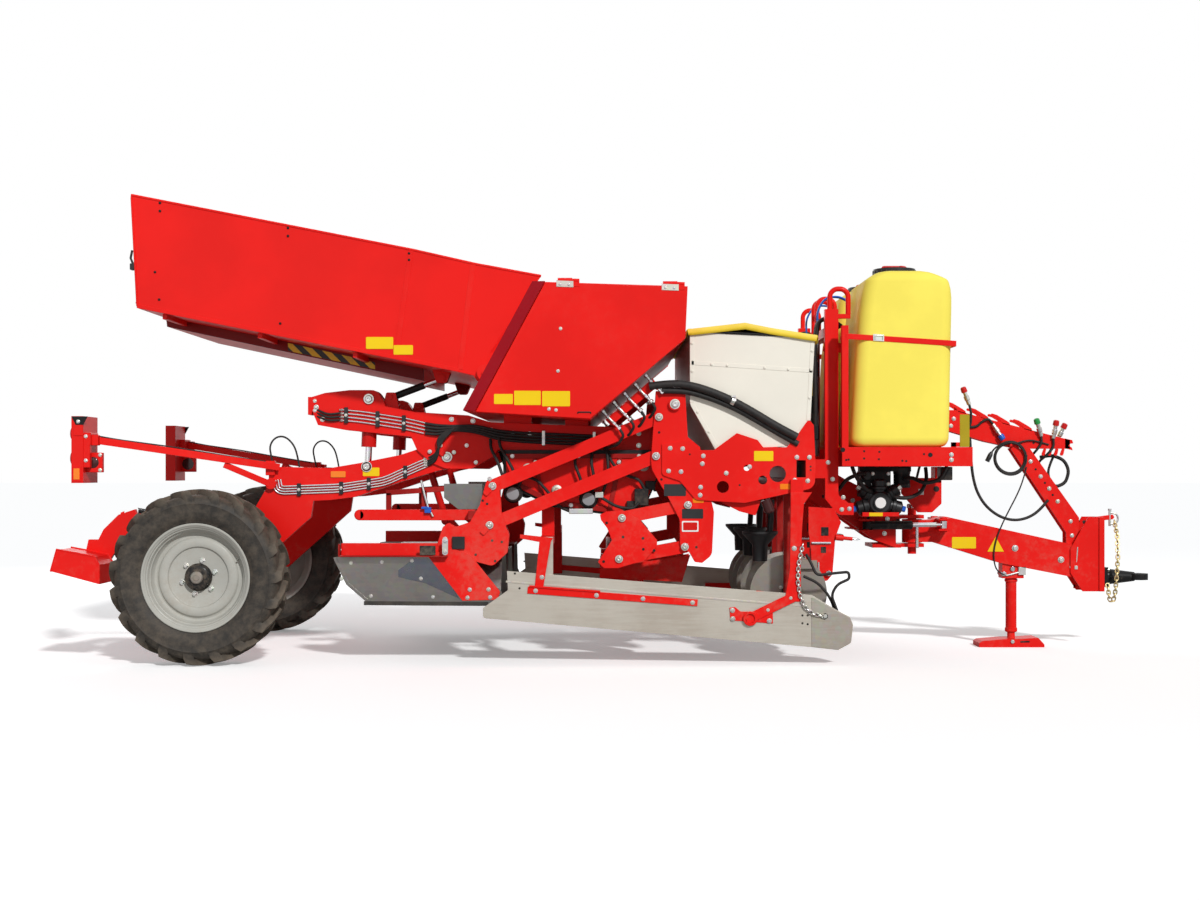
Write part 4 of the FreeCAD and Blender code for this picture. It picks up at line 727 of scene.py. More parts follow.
def tyre(side):
    """The casing and its bars; the bars of the two sides are half a pitch apart."""
    half_section = [(322, 128), (340, 141), (352, 145.5), (362, 148), (366, 152), (390, 160.5), (430, 167.5),
                    (462, 165.5), (468, 167.5), (474, 164), (492, 159), (508, 147), (518, 120), (CASING, 60)]
    profile = half_section + [(r, -y) for r, y in half_section[::-1]] + half_section[:1]
    pitch = 2 * np.pi / LUGS
    bars = [tread_bar(s, k * pitch + (pitch / 2 if s > 0 else 0)) for k in range(LUGS) for s in (-1, 1)]
    return moved(joined(lathe(profile, 96), *bars), (AXLE_X, side * WHEEL_Y, AXLE_Z))


for word, side in SIDES.items():
    piece("tyre_casing_" + word, tyre(side), "wheel_" + word, tread_rubber, "tyre", smooth=38,
          replaces=("tyre_" + word,))
tell("tyres")

# %% Bolt heads
def hexagon(radius, height):
    """A bolt head that points along -Y: a thin washer, then a six-sided head with a worn top."""
    turn = np.arange(6) * np.pi / 3
    rings = [np.stack((np.cos(turn) * r, np.full(6, y), np.sin(turn) * r), -1)
             for r, y in ((radius, -2), (radius, -height), (radius * 0.82, -height - radius * 0.15))]
    head = np.concatenate(rings), grid_faces(3, 6, close_columns=True) + [[12, 13, 14, 15, 16, 17]]
    return joined(head, lathe([(radius * 1.35, 0), (radius * 1.35, -3), (radius * 0.7, -3)], 12))


print("a bolt head has", len(hexagon(10, 7)[1]), "faces")

# %% Rims
RIM_FACE = [(303, 100), (307, 112), (313, 114), (316, 130), (324, 133), (330, 140), (342, 146), (345, 150),
            (341, 153.5), (332, 152), (326, 144), (319, 140), (315, 131), (308, 128), (300, 106), (294, 102),
            (288, 74), (279, 60), (266, 56), (256, 60), (250, 71), (243, 76), (204, 79), (194, 74), (188, 62),
            (180, 59), (84, 60)]
RIM_BACK = [(84, 50), (180, 50), (250, 48), (276, 46), (276, -46), (299, -80), (330, -148), (345, -150),
            (345, -142), (330, -136), (306, -90), (288, -40), (288, 40), (303, 100)]
# one closed section: the outer face with its two pressed rings, then the back
for word, side in SIDES.items():
    rim = lathe(RIM_FACE + RIM_BACK, 96)
    rim = moved(rim if side == LEFT else mirrored(rim), (AXLE_X, side * WHEEL_Y, AXLE_Z))
    piece("rim_face_" + word, rim, "wheel_" + word, silver, "rim_silver", smooth=35, replaces=("rim_" + word,))
tell("rims")

# %% Hubs, wheel nuts and valves
hub = lathe([(83, 52), (88, 62), (85, 70), (80, 74), (77, 104), (66, 110), (40, 111)], 48)
hub_back = lathe([(83, 50), (83, -85), (36, -85)], 48)
cap = lathe([(41, 100), (40, 120), (34, 126), (20, 127), (18, 129.5), (2, 129.5)])
turn = np.arange(6) * np.pi / 3 + 0.3
nuts = copies(hexagon(13.5, 20), np.stack((108 * np.cos(turn), np.full(6, -58), 108 * np.sin(turn)), -1))
valve = tube([(262, -60, 113), (256, -75, 110), (248, -90, 106)], 5, 8)
for word, side in SIDES.items():
    for label, solid, made_for, finish in (
            ("hub", hub, LEFT, black_paint), ("hub_back", hub_back, LEFT, black_paint),
            ("hub_cap", cap, LEFT, blade_steel), ("wheel_nuts", nuts, RIGHT, bright_zinc),
            ("valve", valve, RIGHT, bright_zinc)):
        solid = solid if side == made_for else mirrored(solid)
        piece(f"{label}_{word}", moved(solid, (AXLE_X, side * WHEEL_Y, AXLE_Z)), "wheel_" + word, finish)
tell("hubs and nuts")

# %% [markdown] ## Cords first A lead or a hose is one smooth line with a real length. Each one
# below has the same points as the bent tube in the frame, so that it lies where that tube lies, and
# it replaces the tube. A spline with a round bevel keeps that line, which a loose mesh wouldn't.

# %% Routes for cords
def route(name, points, diameter, finish):
    """A NURBS spline through the air: order 3 means that it bends smoothly and cuts inside its corners."""
    curve = bpy.data.curves.new(name, "CURVE")
    curve.dimensions = "3D"
    curve.bevel_depth, curve.bevel_resolution, curve.use_fill_caps = diameter / 2, 4, True
    spline = curve.splines.new("NURBS")
    spline.points.add(len(points) - 1)
    spline.points.foreach_set("co", np.column_stack((points, np.ones(len(points)))).ravel())
    spline.order_u, spline.use_endpoint_u, spline.resolution_u = 3, True, 10
    curve.materials.append(finish)
    return in_scene(name, curve)


def ride_cord(name, points, body, node, length, diameter, **kind):
    """A rubber cord through these points that rides a body and replaces the frame's node."""
    points = np.asarray(points, float) / 1000
    obj = route(name, points, diameter, hose_rubber)
    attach(obj, body)
    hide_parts(node)
    runs = np.linalg.norm(np.diff(points, axis=0), axis=1).sum()
    print(name + ": runs of", round(float(runs), 3), "m between its points, made from", length, "m")


print("cords are", hose_rubber.name)

# %% Cables, hoses and the jack's line
ARCH = [(-2335, 1262.8), (-2350, 1330), (-2362, 1398), (-2325, 1455), (-2262, 1463), (-2205, 1412), (-2178, 1340),
        (-2165, 1259.2)]
for word, side in SIDES.items():
    ride_cord("lamp_cable_" + word, [(x, side * 825, z) for x, z in ARCH], "swing_" + word,
              "light_cable_" + word, 0.493, 0.012, far_end="object", stiffness="medium", lay="hanging")

HOSE = [(2401, -60.3, 1470), (2404, -63, 1400), (2409, -66, 1300), (2420, -68, 1190), (2450, -70, 1080),
        (2510, -72, 985), (2600, -72, 915), (2700, -70, 885), (2800, -68, 900), (2890, -63, 955), (2950, -60.3, 1030)]
ride_cord("front_hose", HOSE, "drawbar", "drawbar_hose", 1.022, 0.020,
          far_end="object", stiffness="stiff", lay="hanging")

JACK_LINE = [(2800, -55.3, 1260), (2770, -68, 1160), (2725, -80, 1060), (2670, -86, 960), (2615, -88, 850),
             (2575, -86, 740), (2560, -84, 640), (2575, -80, 550), (2620, -74, 510), (2655, -65.3, 500)]
ride_cord("jack_line", JACK_LINE, "drawbar", "jack_cable", 0.856, 0.010,
          far_end="object", stiffness="medium", lay="hanging")

GRANULE_Y = -1171.3
BLOWER = [(x, GRANULE_Y, z) for x, z in ((120, 1772), (240, 1790), (370, 1783), (520, 1738), (670, 1672), (810, 1592),
                                         (930, 1518), (1060, 1450))]
ride_cord("granule_hose", BLOWER, "chassis", "fertiliser_hose", 1.020, 0.050,
          far_end="object", stiffness="stiff", lay="hanging")

# %% The coiled trailer lead and its plug
def coil_points():
    """The run along the comb, then three turns round the peg, each a little larger, then the free end."""
    turn = np.radians(np.arange(70, 1196, 25))
    size = np.linspace(103, 119, len(turn))
    drop = 4 * (1 - np.sin(turn)) * np.linspace(0, 1, len(turn))
    x, z = 2683 + size * np.cos(turn), 1325 + size * np.sin(turn) - drop
    y = -66.5 - 7.5 * np.sin(turn * 1.9) - 3 * np.cos(turn * 0.7)
    start = [(2955, -56.3, 1418), (2900, -57.5, 1434), (2840, -60, 1449), (2780, -64, 1445)]
    end = [(2600, -68, 1411), (2568, -68, 1388), (2550.5, -68, 1362)]
    return np.concatenate((start, np.stack((x, y, z), -1), end))


LEAD = coil_points()
PLUG = [(8.5, -6), (12, 4), (16.3, 14), (16.8, 52), (15, 54), (15, 58), (16.8, 60), (16.8, 68), (13, 69),
        (13, 60), (4, 60)]
plug = piece("lead_plug", aimed(lathe(PLUG, axis="Z"), LEAD[-1], (-0.45, 0, -0.89)), "drawbar", black_plastic,
             "hose_rubber")
ride_cord("coiled_trailer_lead", LEAD, "drawbar", "coiled_lead", 2.56, 0.012,
          far_end="plug", stiffness="medium", lay="coiled", with_pieces=[plug])
tell("the lead's plug")

# %% [markdown]
# ## Bolt heads and blank plates
# Bolts are what makes a steel machine look bolted together. One hexagon head is made once, and an
# array of places repeats it. The notices on the machine are blank plates, thin and round-cornered.
# Real holes aren't cut: a thin black disc on the plate, painted shade for the open hole, reads the same and leaves the
# frame's mesh alone.

# %% Helpers for bolts and plates
def on_face(spots, y):
    """Spots of X and Z as points on a face at this Y."""
    return np.insert(np.asarray(spots, float), 1, y, axis=1)


def bolts(name, spots, y, body, size, finish=None):
    """Bolt heads of this size at spots on a face, on both sides."""
    two(name, copies(hexagon(size, size * 0.7), on_face(spots, y)), body, finish or bright_zinc)


def dots(name, spots, y, body, radius, steps=16):
    """Open holes: flat black discs at spots on a face, on both sides; the black is painted shade inside each hole."""
    disc = lathe([(1, -1), (radius, -1), (radius, 1)], steps)
    two(name, copies(disc, on_face(spots, y)), body, black_paint, smooth=0)


def rounded_box(x0, x1, z0, z1, radius):
    """The outline of a rectangle whose corners are quarter circles."""
    turn = np.linspace(0, np.pi / 2, 5)
    corner = np.stack((np.cos(turn), np.sin(turn)), -1) * radius
    right, left, top, bottom = x1 - radius, x0 + radius, z1 - radius, z0 + radius
    middles = {(1, 1): (right, top), (-1, 1): (left, top), (-1, -1): (left, bottom), (1, -1): (right, bottom)}
    return np.concatenate([middle + corner[::1 if sign[0] * sign[1] > 0 else -1] * sign
                           for sign, middle in middles.items()])


def tag(name, spans, y, body, finish, thick=1.2):
    """Blank notice plates, each from x0 to x1 and z0 to z1, on both sides."""
    two(name, joined(*[plate(rounded_box(*span, 6), y - thick, y + 0.3) for span in spans]), body, finish)


print("a notice's outline has", len(rounded_box(0, 9, 0, 9, 1)), "points")

# %% [markdown]
# ## Tipping hopper
# Each side is made of sheets that overlap at two seams, under a rolled top edge. Seams could be steps
# in one mesh, but a flat ribbon over the frame's sheet, and a thin tube along its outline, catch the
# light in the same way and leave that sheet as it is.

# %% Hopper edges, seams and notices
HOPPER_Y = -1300
rolled_edge = [(-3137, 2967), (-1366, 2622), (-977, 2534), (-562, 2458)]
foot = [(-3099, 2269), (-1517, 1955), (-1077, 1867)]
two("hopper_rim", tube(on_face(rolled_edge, HOPPER_Y + 4), 9, 10), "hopper", red, smooth=60)
two("hopper_foot_rail", ribbon(foot, 24, HOPPER_Y - 3.5, HOPPER_Y + 1), "hopper", red, bevel=1.5)
seams = [ribbon(line, 34, HOPPER_Y - 2.5, HOPPER_Y + 1) for line in
         (((-1379, 2618), (-1473, 1954)), ((-990, 2530), (-1070, 1872)))]
two("hopper_seams", joined(*seams), "hopper", red, bevel=1)
end_bead = tube(on_face([(-3133, 2950), (-3097, 2268)], HOPPER_Y - 2), 7, 8)
two("hopper_end_bead", end_bead, "hopper", red, smooth=60)
bolts("hopper_bolts", [(-2955, 2917), (-2955, 2866), (-2151, 2760), (-2151, 2709), (-1391, 2600), (-1391, 2559),
                       (-2986, 2483), (-2960, 2310), (-2200, 2160)], HOPPER_Y - 0.5, "hopper", 6, black_paint)
tag("hopper_notices", [(-1661, -1490, 2000, 2075), (-1488, -1366, 1964, 2024)], HOPPER_Y - 2.4, "hopper",
    label_yellow)
tell("hopper trim")

# %% Trough stripes, cross ribs and tail
TROUGH_Y = -750
stripe = plate([(-2254, 2079), (-1679, 1952), (-1679, 1906), (-2254, 2027)], TROUGH_Y - 1.5, TROUGH_Y + 0.5)
two("trough_stripes", stripe, "hopper", hazard)
ribs = [slab((x, -1260, z), (x + 30, 1260, z + 35)) for x, z in ((-2950, 2190), (-2350, 2070), (-1750, 1948))]
piece("hopper_under_ribs", joined(*ribs), "hopper", red, bevel=3)
folds = [tube([(x, -1290, z), (x, 1290, z)], 12, 8) for x, z in ((-3131, 2957), (-3100, 2292))]
piece("hopper_tail_folds", joined(*folds), "hopper", red, smooth=60)
latch = joined(slab((-3150, -1285, 2500), (-3118, -1235, 2540)),
               tube([(-3135, -1262, 2540), (-3150, -1262, 2575), (-3140, -1262, 2625)], 8, 8))
piece("tail_latch", latch, "hopper", black_plastic, bevel=3)
tell("hopper underside and tail")

# %% [markdown]
# ## Side covers over the bunker
# Each cover hangs on two hinges and is locked by small bolts. Its folded edge is a thin tube along
# the sheet's outline. Behind it the bunker's rear flange leans inwards, so it is a strip between
# two sloping edges; its dark red is painted shade, as that flange faces away from the light.

# %% Cover trim
COVER_Y = -1400
bolts("cover_bolts", [(-453, 1856), (-509, 1619), (-465, 1613), (-437, 2120)], COVER_Y - 0.3, "side_cover_{}", 8)
tag("cover_notices", [(-851, -734, 1650, 1713), (-726, -560, 1644, 1733), (-552, -378, 1636, 1731)], COVER_Y,
    "side_cover_{}", label_yellow)
outline = [(-534, 2405), (352, 2378), (335, 2062), (-254, 1563), (-960, 1607)]
two("cover_edge", tube(on_face(outline, COVER_Y + 5), 6, 8), "side_cover_{}", red, smooth=60)
# a strip over the rear flange, dark red as painted shade
flange = web(((-970.5, -1398, 1607.5), (-535.5, -1398, 2415.5)), ((-1049, -1342, 1613.5), (-614.5, -1342, 2420.5)))
two("bunker_flange_shade_strip", flange, "chassis", flange_shade_red)
grip = rounded([(-330, -1398, 1590), (-330, -1403, 1600), (-250, -1403, 1600), (-250, -1398, 1590)], 10)
two("cover_grip", tube(grip, 4, 8), "side_cover_{}", black_plastic, smooth=60)
straps = [plate([(x - 8, z + 24), (x + 98, z + 20), (x + 98, z - 22), (x - 8, z - 18)], COVER_Y - 3.5, COVER_Y + 1)
          for x, z in ((-455, 2398), (200, 2377))]
two("hinge_straps", joined(*straps), "side_cover_{}", zinc, bevel=1)
bolts("hinge_bolts", [(-440, 2396), (-385, 2394), (215, 2375), (270, 2373)], COVER_Y - 3.5, "side_cover_{}", 6)
tell("side cover trim")

# %% [markdown]
# ## Steel pipes on the beams
# Oil runs to the rams in bright steel pipes that lie side by side, held by clamp blocks.
# They are fixed lines, not free hoses: each is a tube along one path, and the bundle repeats it
# square to that path, so that the pipes stay parallel round every bend.

# %% Helpers for bundles, clamps and clipped hoses
def bundle(path, y, count, pitch):
    """Parallel pipes along a path of X and Z, stacked square to it, one pitch apart."""
    path = rounded(path, 50)
    ahead = np.gradient(path, axis=0)
    out = np.stack((-ahead[:, 1], ahead[:, 0]), -1) / np.linalg.norm(ahead, axis=1)[:, None]
    lines = [path + out * (k - (count - 1) / 2) * pitch for k in range(count)]
    return joined(*[tube(on_face(line, y), 5.5, 10) for line in lines])


def clamps(name, spots, y, height, body, finish, width=26, bevel=3):
    """Clamp blocks over a bundle, each with one bolt through its middle."""
    blocks = [slab((x - width / 2, y - 11, z - height / 2), (x + width / 2, y + 8, z + height / 2))
              for x, z in spots]
    two(name + "s", joined(*blocks), body, finish, bevel=bevel)
    two(name + "_bolts", copies(hexagon(8, 7), on_face(spots, y - 11)), body, bright_zinc)


def pipe_nuts(name, x, z, pitch, y, body):
    """Four pipe ends, a pitch apart in height: a nut and a ring where a hose meets a pipe."""
    nut = lathe([(4, 0), (9.5, 0), (9.5, -12), (6.5, -14), (6.5, -24), (4, -24)], 6, "X")
    two(name, copies(nut, [(x, y, z + pitch * k) for k in range(4)]), body, bright_zinc)


def hoses(paths, radius=9, sides=10):
    """Clipped hoses: each a smooth tube through its corners."""
    return joined(*[tube(rounded(path, 90, 8), radius, sides) for path in paths])


print("a straight hose has", len(hoses([[(0, 0, 0), (9, 0, 0)]])[1]), "faces")


# %% Pipes and hoses on the beams
BEAM_PIPE_Y, ARM_PIPE_Y = -913, -894
PIPE_UP = [(-1870, 1598), (-1740, 1586), (-1463, 1543), (-1330, 1512)]
two("beam_pipes", bundle(PIPE_UP, BEAM_PIPE_Y, 4, 23), "chassis", chrome, smooth=60)
clamps("beam_clamp", [(-1845, 1596), (-1640, 1571), (-1469, 1544)], BEAM_PIPE_Y, 104, "chassis", black_plastic)
pipe_nuts("beam_pipe_nuts", -1866, 1563, 23, BEAM_PIPE_Y, "chassis")
lines = [[(-1330, -915, 1478 + 22 * k), (-1250, -925, 1470 + 20 * k), (-1140, -936, 1500 + 8 * k),
          (-1000, -938, 1488 + 14 * k), (-860, -925, 1440 + 18 * k), (-700, -912, 1424 + 19 * k),
          (-400, -910, 1410 + 20 * k), (-150, -912, 1402 + 18 * k)] for k in range(4)]
two("beam_hoses", hoses(lines), "chassis", hose_rubber, smooth=60)
clamps("hose_clip", [(-560, 1448), (-230, 1440)], -911, 96, "chassis", bright_zinc, 20, 2)
tail = [[(-1876, -912, 1566 + 23 * k), (-1960, -925, 1560 + 20 * k), (-2040, -900, 1590 + 22 * k),
         (-2090, -860, 1640 + 14 * k)] for k in range(3)]
two("beam_tail_hoses", hoses(tail, 7), "chassis", hose_rubber, smooth=60)
tell("beam pipes and hoses")

# %% Pipes on the swing arms
PIPE_ARM = [(-2300, 1176), (-2290, 1118), (-2259, 1108), (-1887, 1122), (-1594, 1166), (-1463, 1227), (-1320, 1290)]
two("arm_pipes", bundle(PIPE_ARM, ARM_PIPE_Y, 4, 17), "swing_{}", chrome, smooth=60)
clamps("arm_clamp", [(-2155, 1112), (-1880, 1123), (-1700, 1150), (-1462, 1228)], ARM_PIPE_Y, 82, "swing_{}",
       black_plastic)
pipe_nuts("arm_pipe_nuts", -1318, 1267, 16, ARM_PIPE_Y, "swing_{}")
tell("arm pipes")

# %% Granule hoses beside the cream hopper
second = [(200, -1158, 1745), (360, -1150, 1742), (520, -1150, 1696), (680, -1150, 1628), (820, -1150, 1548),
          (960, -1150, 1465), (1070, -1150, 1405)]
two("second_granule_hose", hoses([second], 19, 14), "chassis", hose_rubber, smooth=60)
band = lathe([(26.2, -12), (28.5, -12), (28.5, 12), (26.2, 12), (26.2, -12)], axis="Z")
clip = joined(aimed(band, (655, GRANULE_Y, 1679), (0.150, 0, -0.074)), slab((640, -1206, 1700), (668, -1165, 1712)))
two("granule_hose_band", clip, "chassis", bright_zinc, smooth=40)
tell("granule hoses")

# %% [markdown] ## Hoses round the swing pivot Four hoses cross the pivot of each wheel arm.

# %% Jumper hoses
for word, side in SIDES.items():
    jumpers = [[(-1316, -896, 1268 + 16 * k), (-1262, -918, 1300 + 14 * k), (-1238, -938, 1370 + 8 * k),
                (-1250 + 14 * k, -944, 1440), (-1180 + 16 * k, -942, 1500 + 6 * k)] for k in range(4)]
    obj = piece("swing_jumpers_" + word, on_side(hoses(jumpers, 8), side), None, hose_rubber, smooth=60)
    "swing_" + word
    side * 0.92
    side * 0.94
    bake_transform(obj)
tell("jumper hoses")

# %% [markdown]
# ## Pins and their locks
# Each big pivot is a ground pin with a collar, and the largest have a lock plate, so that the pin
# can't turn in its fork. The same shapes serve every pivot. The faces that they stand on are named
# once, because pins, bolts, holes and notices share them.

# %% Pivot pins
MAST_Y, LINK_Y, SIDE_PLATE_Y, BEAM_Y, ARM_Y = -1134.4, -1142, -1146.2, -905, -887.3


def pins(name, spots, y, body, radius, finish=None):
    """A chamfered pin end with a centre hole, over a thin collar, at each spot."""
    end = lathe([(radius * 1.45, 0), (radius * 1.45, -3), (radius, -3), (radius, -14), (radius - 4, -18),
                 (radius * 0.34, -18), (radius * 0.26, -12), (1, -12)])
    two(name, copies(end, on_face(spots, y)), body, finish or bright_zinc, smooth=35)


def lock(name, spots, y, body, lean):
    """Lock plates: a rounded strip from the pin outwards, leaning by an angle in radians."""
    outline = rounded_box(-18, 18, 20, 74, 9)
    turn = np.array(((math.cos(lean), math.sin(lean)), (-math.sin(lean), math.cos(lean))))
    two(name, joined(*[plate(outline @ turn + spot, y - 6, y) for spot in spots]), body, red, bevel=1.5)


pins("swing_pin_ends", [(-1188, 1325), (-1698, 1703)], BEAM_PIPE_Y, "chassis", 23)
lock("swing_pin_locks", [(-1188, 1325)], BEAM_PIPE_Y, "chassis", 0.9)
bolts("swing_lock_bolts", [(-1143, 1355), (-1230, 1400), (-1060, 1400), (-1300, 1360), (-1000, 1290)], -917.5,
      "chassis", 10)
pins("arm_pin_ends", [(-1715, 1262)], -892, "swing_{}", 24)
pins("mast_pin_ends", [(184, 1578), (165, 1329), (368, 1017), (349, 750)], LINK_Y, "chassis", 17)
pins("opener_pin_ends", [(-52, 934), (-71, 673)], LINK_Y, "chassis", 17)
pins("ridger_pin_ends", [(-877, 1138), (-896, 889)], LINK_Y, "hood", 17)
pins("mast_boss_end", [(285, 1660)], -1159, "chassis", 22)
tell("pivot pins")

# %% Bolts and holes along the frame, the masts and the side plates
bolts("beam_bolts", [(-2040, 1650), (-2000, 1570), (-1020, 1560), (-900, 1500), (-760, 1480), (-650, 1475),
                     (-90, 1480), (60, 1478), (60, 1400), (-1160, 1570)], BEAM_Y, "chassis", 12)
bolts("end_plate_bolts", [(-2050, 1690), (-2050, 1628)], BEAM_Y, "chassis", 9)
bolts("side_plate_bolts", [(255, 1379), (335, 1376), (245, 1234), (324, 1229), (466, 1330), (460, 1280),
                           (449, 1131), (446, 1080), (612, 1220), (761, 1261), (1062, 1321), (1142, 1321),
                           (1049, 1176), (1131, 1171)], SIDE_PLATE_Y, "chassis", 11)
dots("side_plate_holes", [(698, 1144), (1150, 1262), (1150, 1240), (380, 1340)], SIDE_PLATE_Y - 0.2, "chassis", 6)
dots("mast_holes", [(423, 748), (185, 1480), (200, 1180)], MAST_Y, "chassis", 8)
dots("carrier_holes", [(-150, 902), (-45, 813), (84, 735), (82, 804), (153, 726), (-169, 656)], MAST_Y,
     "chassis", 9)
dots("ridger_holes", [(-912, 1024), (-940, 1045), (-818, 781), (-861, 659), (-985, 700), (-880, 790)], MAST_Y,
     "hood", 8)
bolts("ridger_bolts", [(-896, 1183), (-1180, 800), (-1105, 770)], MAST_Y + 0.2, "hood", 11)
bolts("hood_bracket_bolts", [(-1022, 478), (-902, 480), (-1036, 427), (-892, 429)], SIDE_PLATE_Y, "hood", 10)
bolts("hood_cheek_bolts", [(-1780, 647), (-1583, 653), (-1391, 662), (-1334, 548), (-1841, 545), (-1653, 436),
                           (-1257, 430)], MAST_Y + 0.2, "hood", 9)
bolts("shield_hanger_bolts", [(1040, 743), (1018, 428), (873, 352), (882, 283), (648, 350), (650, 296)], -1193.5,
      "chassis", 12)
tell("frame bolts and holes")

# %% Blank plates on the steelwork
tag("mast_plates", [(216, 356, 1074, 1150), (331, 466, 930, 992)], MAST_Y, "chassis", black_plastic)
tag("mast_orange", [(400, 470, 1030, 1062)], MAST_Y, "chassis", label_orange)
tag("mast_white", [(330, 436, 846, 915)], MAST_Y, "chassis", label_white)
tag("mast_red", [(338, 428, 856, 906)], MAST_Y - 1.5, "chassis", barrel_red)
tag("side_plate_notice", [(789, 912, 1297, 1361)], SIDE_PLATE_Y - 0.2, "chassis", label_yellow)
tag("side_plate_orange", [(955, 1050, 1117, 1152)], SIDE_PLATE_Y - 0.2, "chassis", label_orange)
tag("arm_notice", [(-1740, -1632, 1200, 1256)], ARM_Y, "swing_{}", label_yellow)
tag("arm_reflector", [(-1948, -1852, 1192, 1232)], ARM_Y, "swing_{}", lamp_amber, 7)
tag("drawbar_notice", [(2272, 2440, 690, 770)], -75.3, "drawbar", label_yellow)
two("drawbar_triangle", plate([(2520, 668), (2636, 668), (2578, 772)], -76.5, -75), "drawbar", label_yellow)
tell("blank plates")

# %% [markdown]
# ## Liquid tanks
# A blown tank has no sharp edge anywhere. Each level of it is a rectangle with round corners, and
# near the bottom and the top the level shrinks along a quarter circle. The frame's outline gives the
# front and the back of every level, so the skin stays on the tank that the frame holds.

# %% Tank skins
TANK_FLOOR, TANK_TOP, TANK_Y, TANK_HALF = 1389, 2539, 575, 375
RING = 64


def tank_skin(centre):
    """Rings of a rounded rectangle from the floor to the crown. The inset grows as a quarter circle
    below the lower bend and above the upper one, and each belt groove is a bell curve of the height."""
    bend_low, bend_high = 1455, 2462
    level = np.concatenate((np.linspace(TANK_FLOOR, bend_low, 9), np.linspace(1520, 2420, 16),
                            np.linspace(bend_high, TANK_TOP, 10)))
    back = np.interp(level, (TANK_FLOOR, 2079, 2400, 2480, TANK_TOP), (1436, 1478, 1516, 1538, 1600))
    front = np.interp(level, (TANK_FLOOR, 2349, 2440, 2484, TANK_TOP), (2084, 2103.5, 2096, 2078, 1985))
    low = np.clip((bend_low - level) / (bend_low - TANK_FLOOR), 0, 1)
    high = np.clip((level - bend_high) / (TANK_TOP - bend_high), 0, 1)
    inset = 50 * (1 - np.sqrt(1 - low ** 2)) + 60 * (1 - np.sqrt(1 - high ** 2))
    turn = np.linspace(0, 2 * np.pi, RING, endpoint=False) + np.pi / RING
    corner = 85 - inset * 0.5
    reach_x, reach_y = (front - back) / 2 - inset - corner, TANK_HALF - inset - corner
    groove = sum(3.5 * np.exp(-((level - height) / 12) ** 2) for height in (2100, 1720))
    c, s = np.cos(turn)[None], np.sin(turn)[None]
    x = ((front + back) / 2)[:, None] + np.sign(c) * reach_x[:, None] + (corner - groove)[:, None] * c
    y = centre + np.sign(s) * reach_y[:, None] + (corner - groove)[:, None] * s
    points = np.stack((x, y, np.broadcast_to(level[:, None], x.shape)), -1).reshape(-1, 3)
    last = (len(level) - 1) * RING
    faces = grid_faces(len(level), RING, close_columns=True)
    return points, faces + [list(range(RING))[::-1], list(range(last, last + RING))]


for word, side in SIDES.items():
    piece("tank_skin_" + word, tank_skin(side * TANK_Y), "chassis", tank_yellow, "tank_plastic", smooth=40,
          replaces=("tank_" + word,))
tell("tank skins")

# %% Lids, grips and vents
LID = [(1, 30), (100, 30), (112, 24), (118, 24), (122, 40), (132, 44.5), (139, 40), (140, 4), (146, 0)]
VENT = [(0, 0), (20, 0), (20, 18), (12, 22), (12, 34), (0, 34)]
turn = np.arange(24) * np.pi / 12
for word, side in SIDES.items():
    y = side * TANK_Y
    teeth = copies(slab((-4, -4, 4), (4, 4, 36)),
                   np.stack((1780 + 140.5 * np.cos(turn), y + 140.5 * np.sin(turn), np.full(24, TANK_TOP)), -1))
    lid = joined(lathe(LID, 96, "Z", (1780, y, TANK_TOP)), teeth)
    piece("lid_" + word, lid, "chassis", black_plastic, "black_plastic", smooth=35)
    grip = rounded([(1700, y, 2562), (1700, y, 2602), (1860, y, 2602), (1860, y, 2562)], 20)
    piece("lid_grip_" + word, tube(grip, 8, 10), "chassis", cap_red, smooth=60)
    piece("lid_vent_" + word, lathe(VENT, 24, "Z", (1815, y - 60, 2568)), "chassis", cap_red, smooth=35)
tell("tank lids")

# %% Straps, buckles and the cradle's bolts
def strap(y):
    """A flat webbing strap along one face of the tank: it slopes down to the front."""
    return ribbon([(1404, 2108), (2118, 2060)], 36, y - 3, y + 1)


TANK_OUTER, TANK_INNER = -TANK_Y - TANK_HALF, -TANK_Y + TANK_HALF
two("tank_strap", strap(TANK_OUTER - 0.5), "chassis", red, bevel=1)
returns = joined(slab((1400, -953, 2090), (1404, -700, 2126)), strap(TANK_INNER + 2.5),
                 slab((2114.5, -953, 2042), (2118.5, -197, 2078)))
two("tank_strap_returns", returns, "chassis", red)
buckle = joined(plate([(1579, 2078), (1650, 2074), (1650, 2118), (1579, 2122)], -957, -952),
                tube([(1590, -958, 2085), (1590, -962, 2112), (1640, -962, 2110), (1640, -958, 2083)], 3, 8))
two("tank_buckle", buckle, "chassis", bright_zinc, bevel=1)
CRADLE_Y = -952.3
bolts("cradle_bolts", [(2087, 1340), (2087, 1306)], CRADLE_Y, "chassis", 11)
dots("cradle_holes", [(1521, 1362), (1521, 1315), (1620, 1358), (1616, 1310), (1769, 1300), (1794, 1298),
                      (1909, 1343), (1405, 1305), (1420, 1308)], CRADLE_Y - 0.1, "chassis", 7)
dots("cradle_large_holes", [(1383, 1371), (1950, 1338)], CRADLE_Y - 0.1, "chassis", 15)
bolts("post_bolts", [(1310, 1290), (1340, 1180), (1410, 1060), (1400, 980), (1450, 985)], -780.3, "chassis", 11)
tell("tank straps and cradle")

# %% [markdown]
# ## Fertiliser hopper and its cover
# The cream hopper is riveted from sheets, so it has seam ribbons and rivets. Its cover is a coated
# cloth that lies over hoops. The cloth is a grid over the hopper: across the machine it is level and
# drops at both rims, along it it follows the hoops, with shallow folds. A modifier gives it its
# thickness, so that the sheet itself keeps one side and a true area.

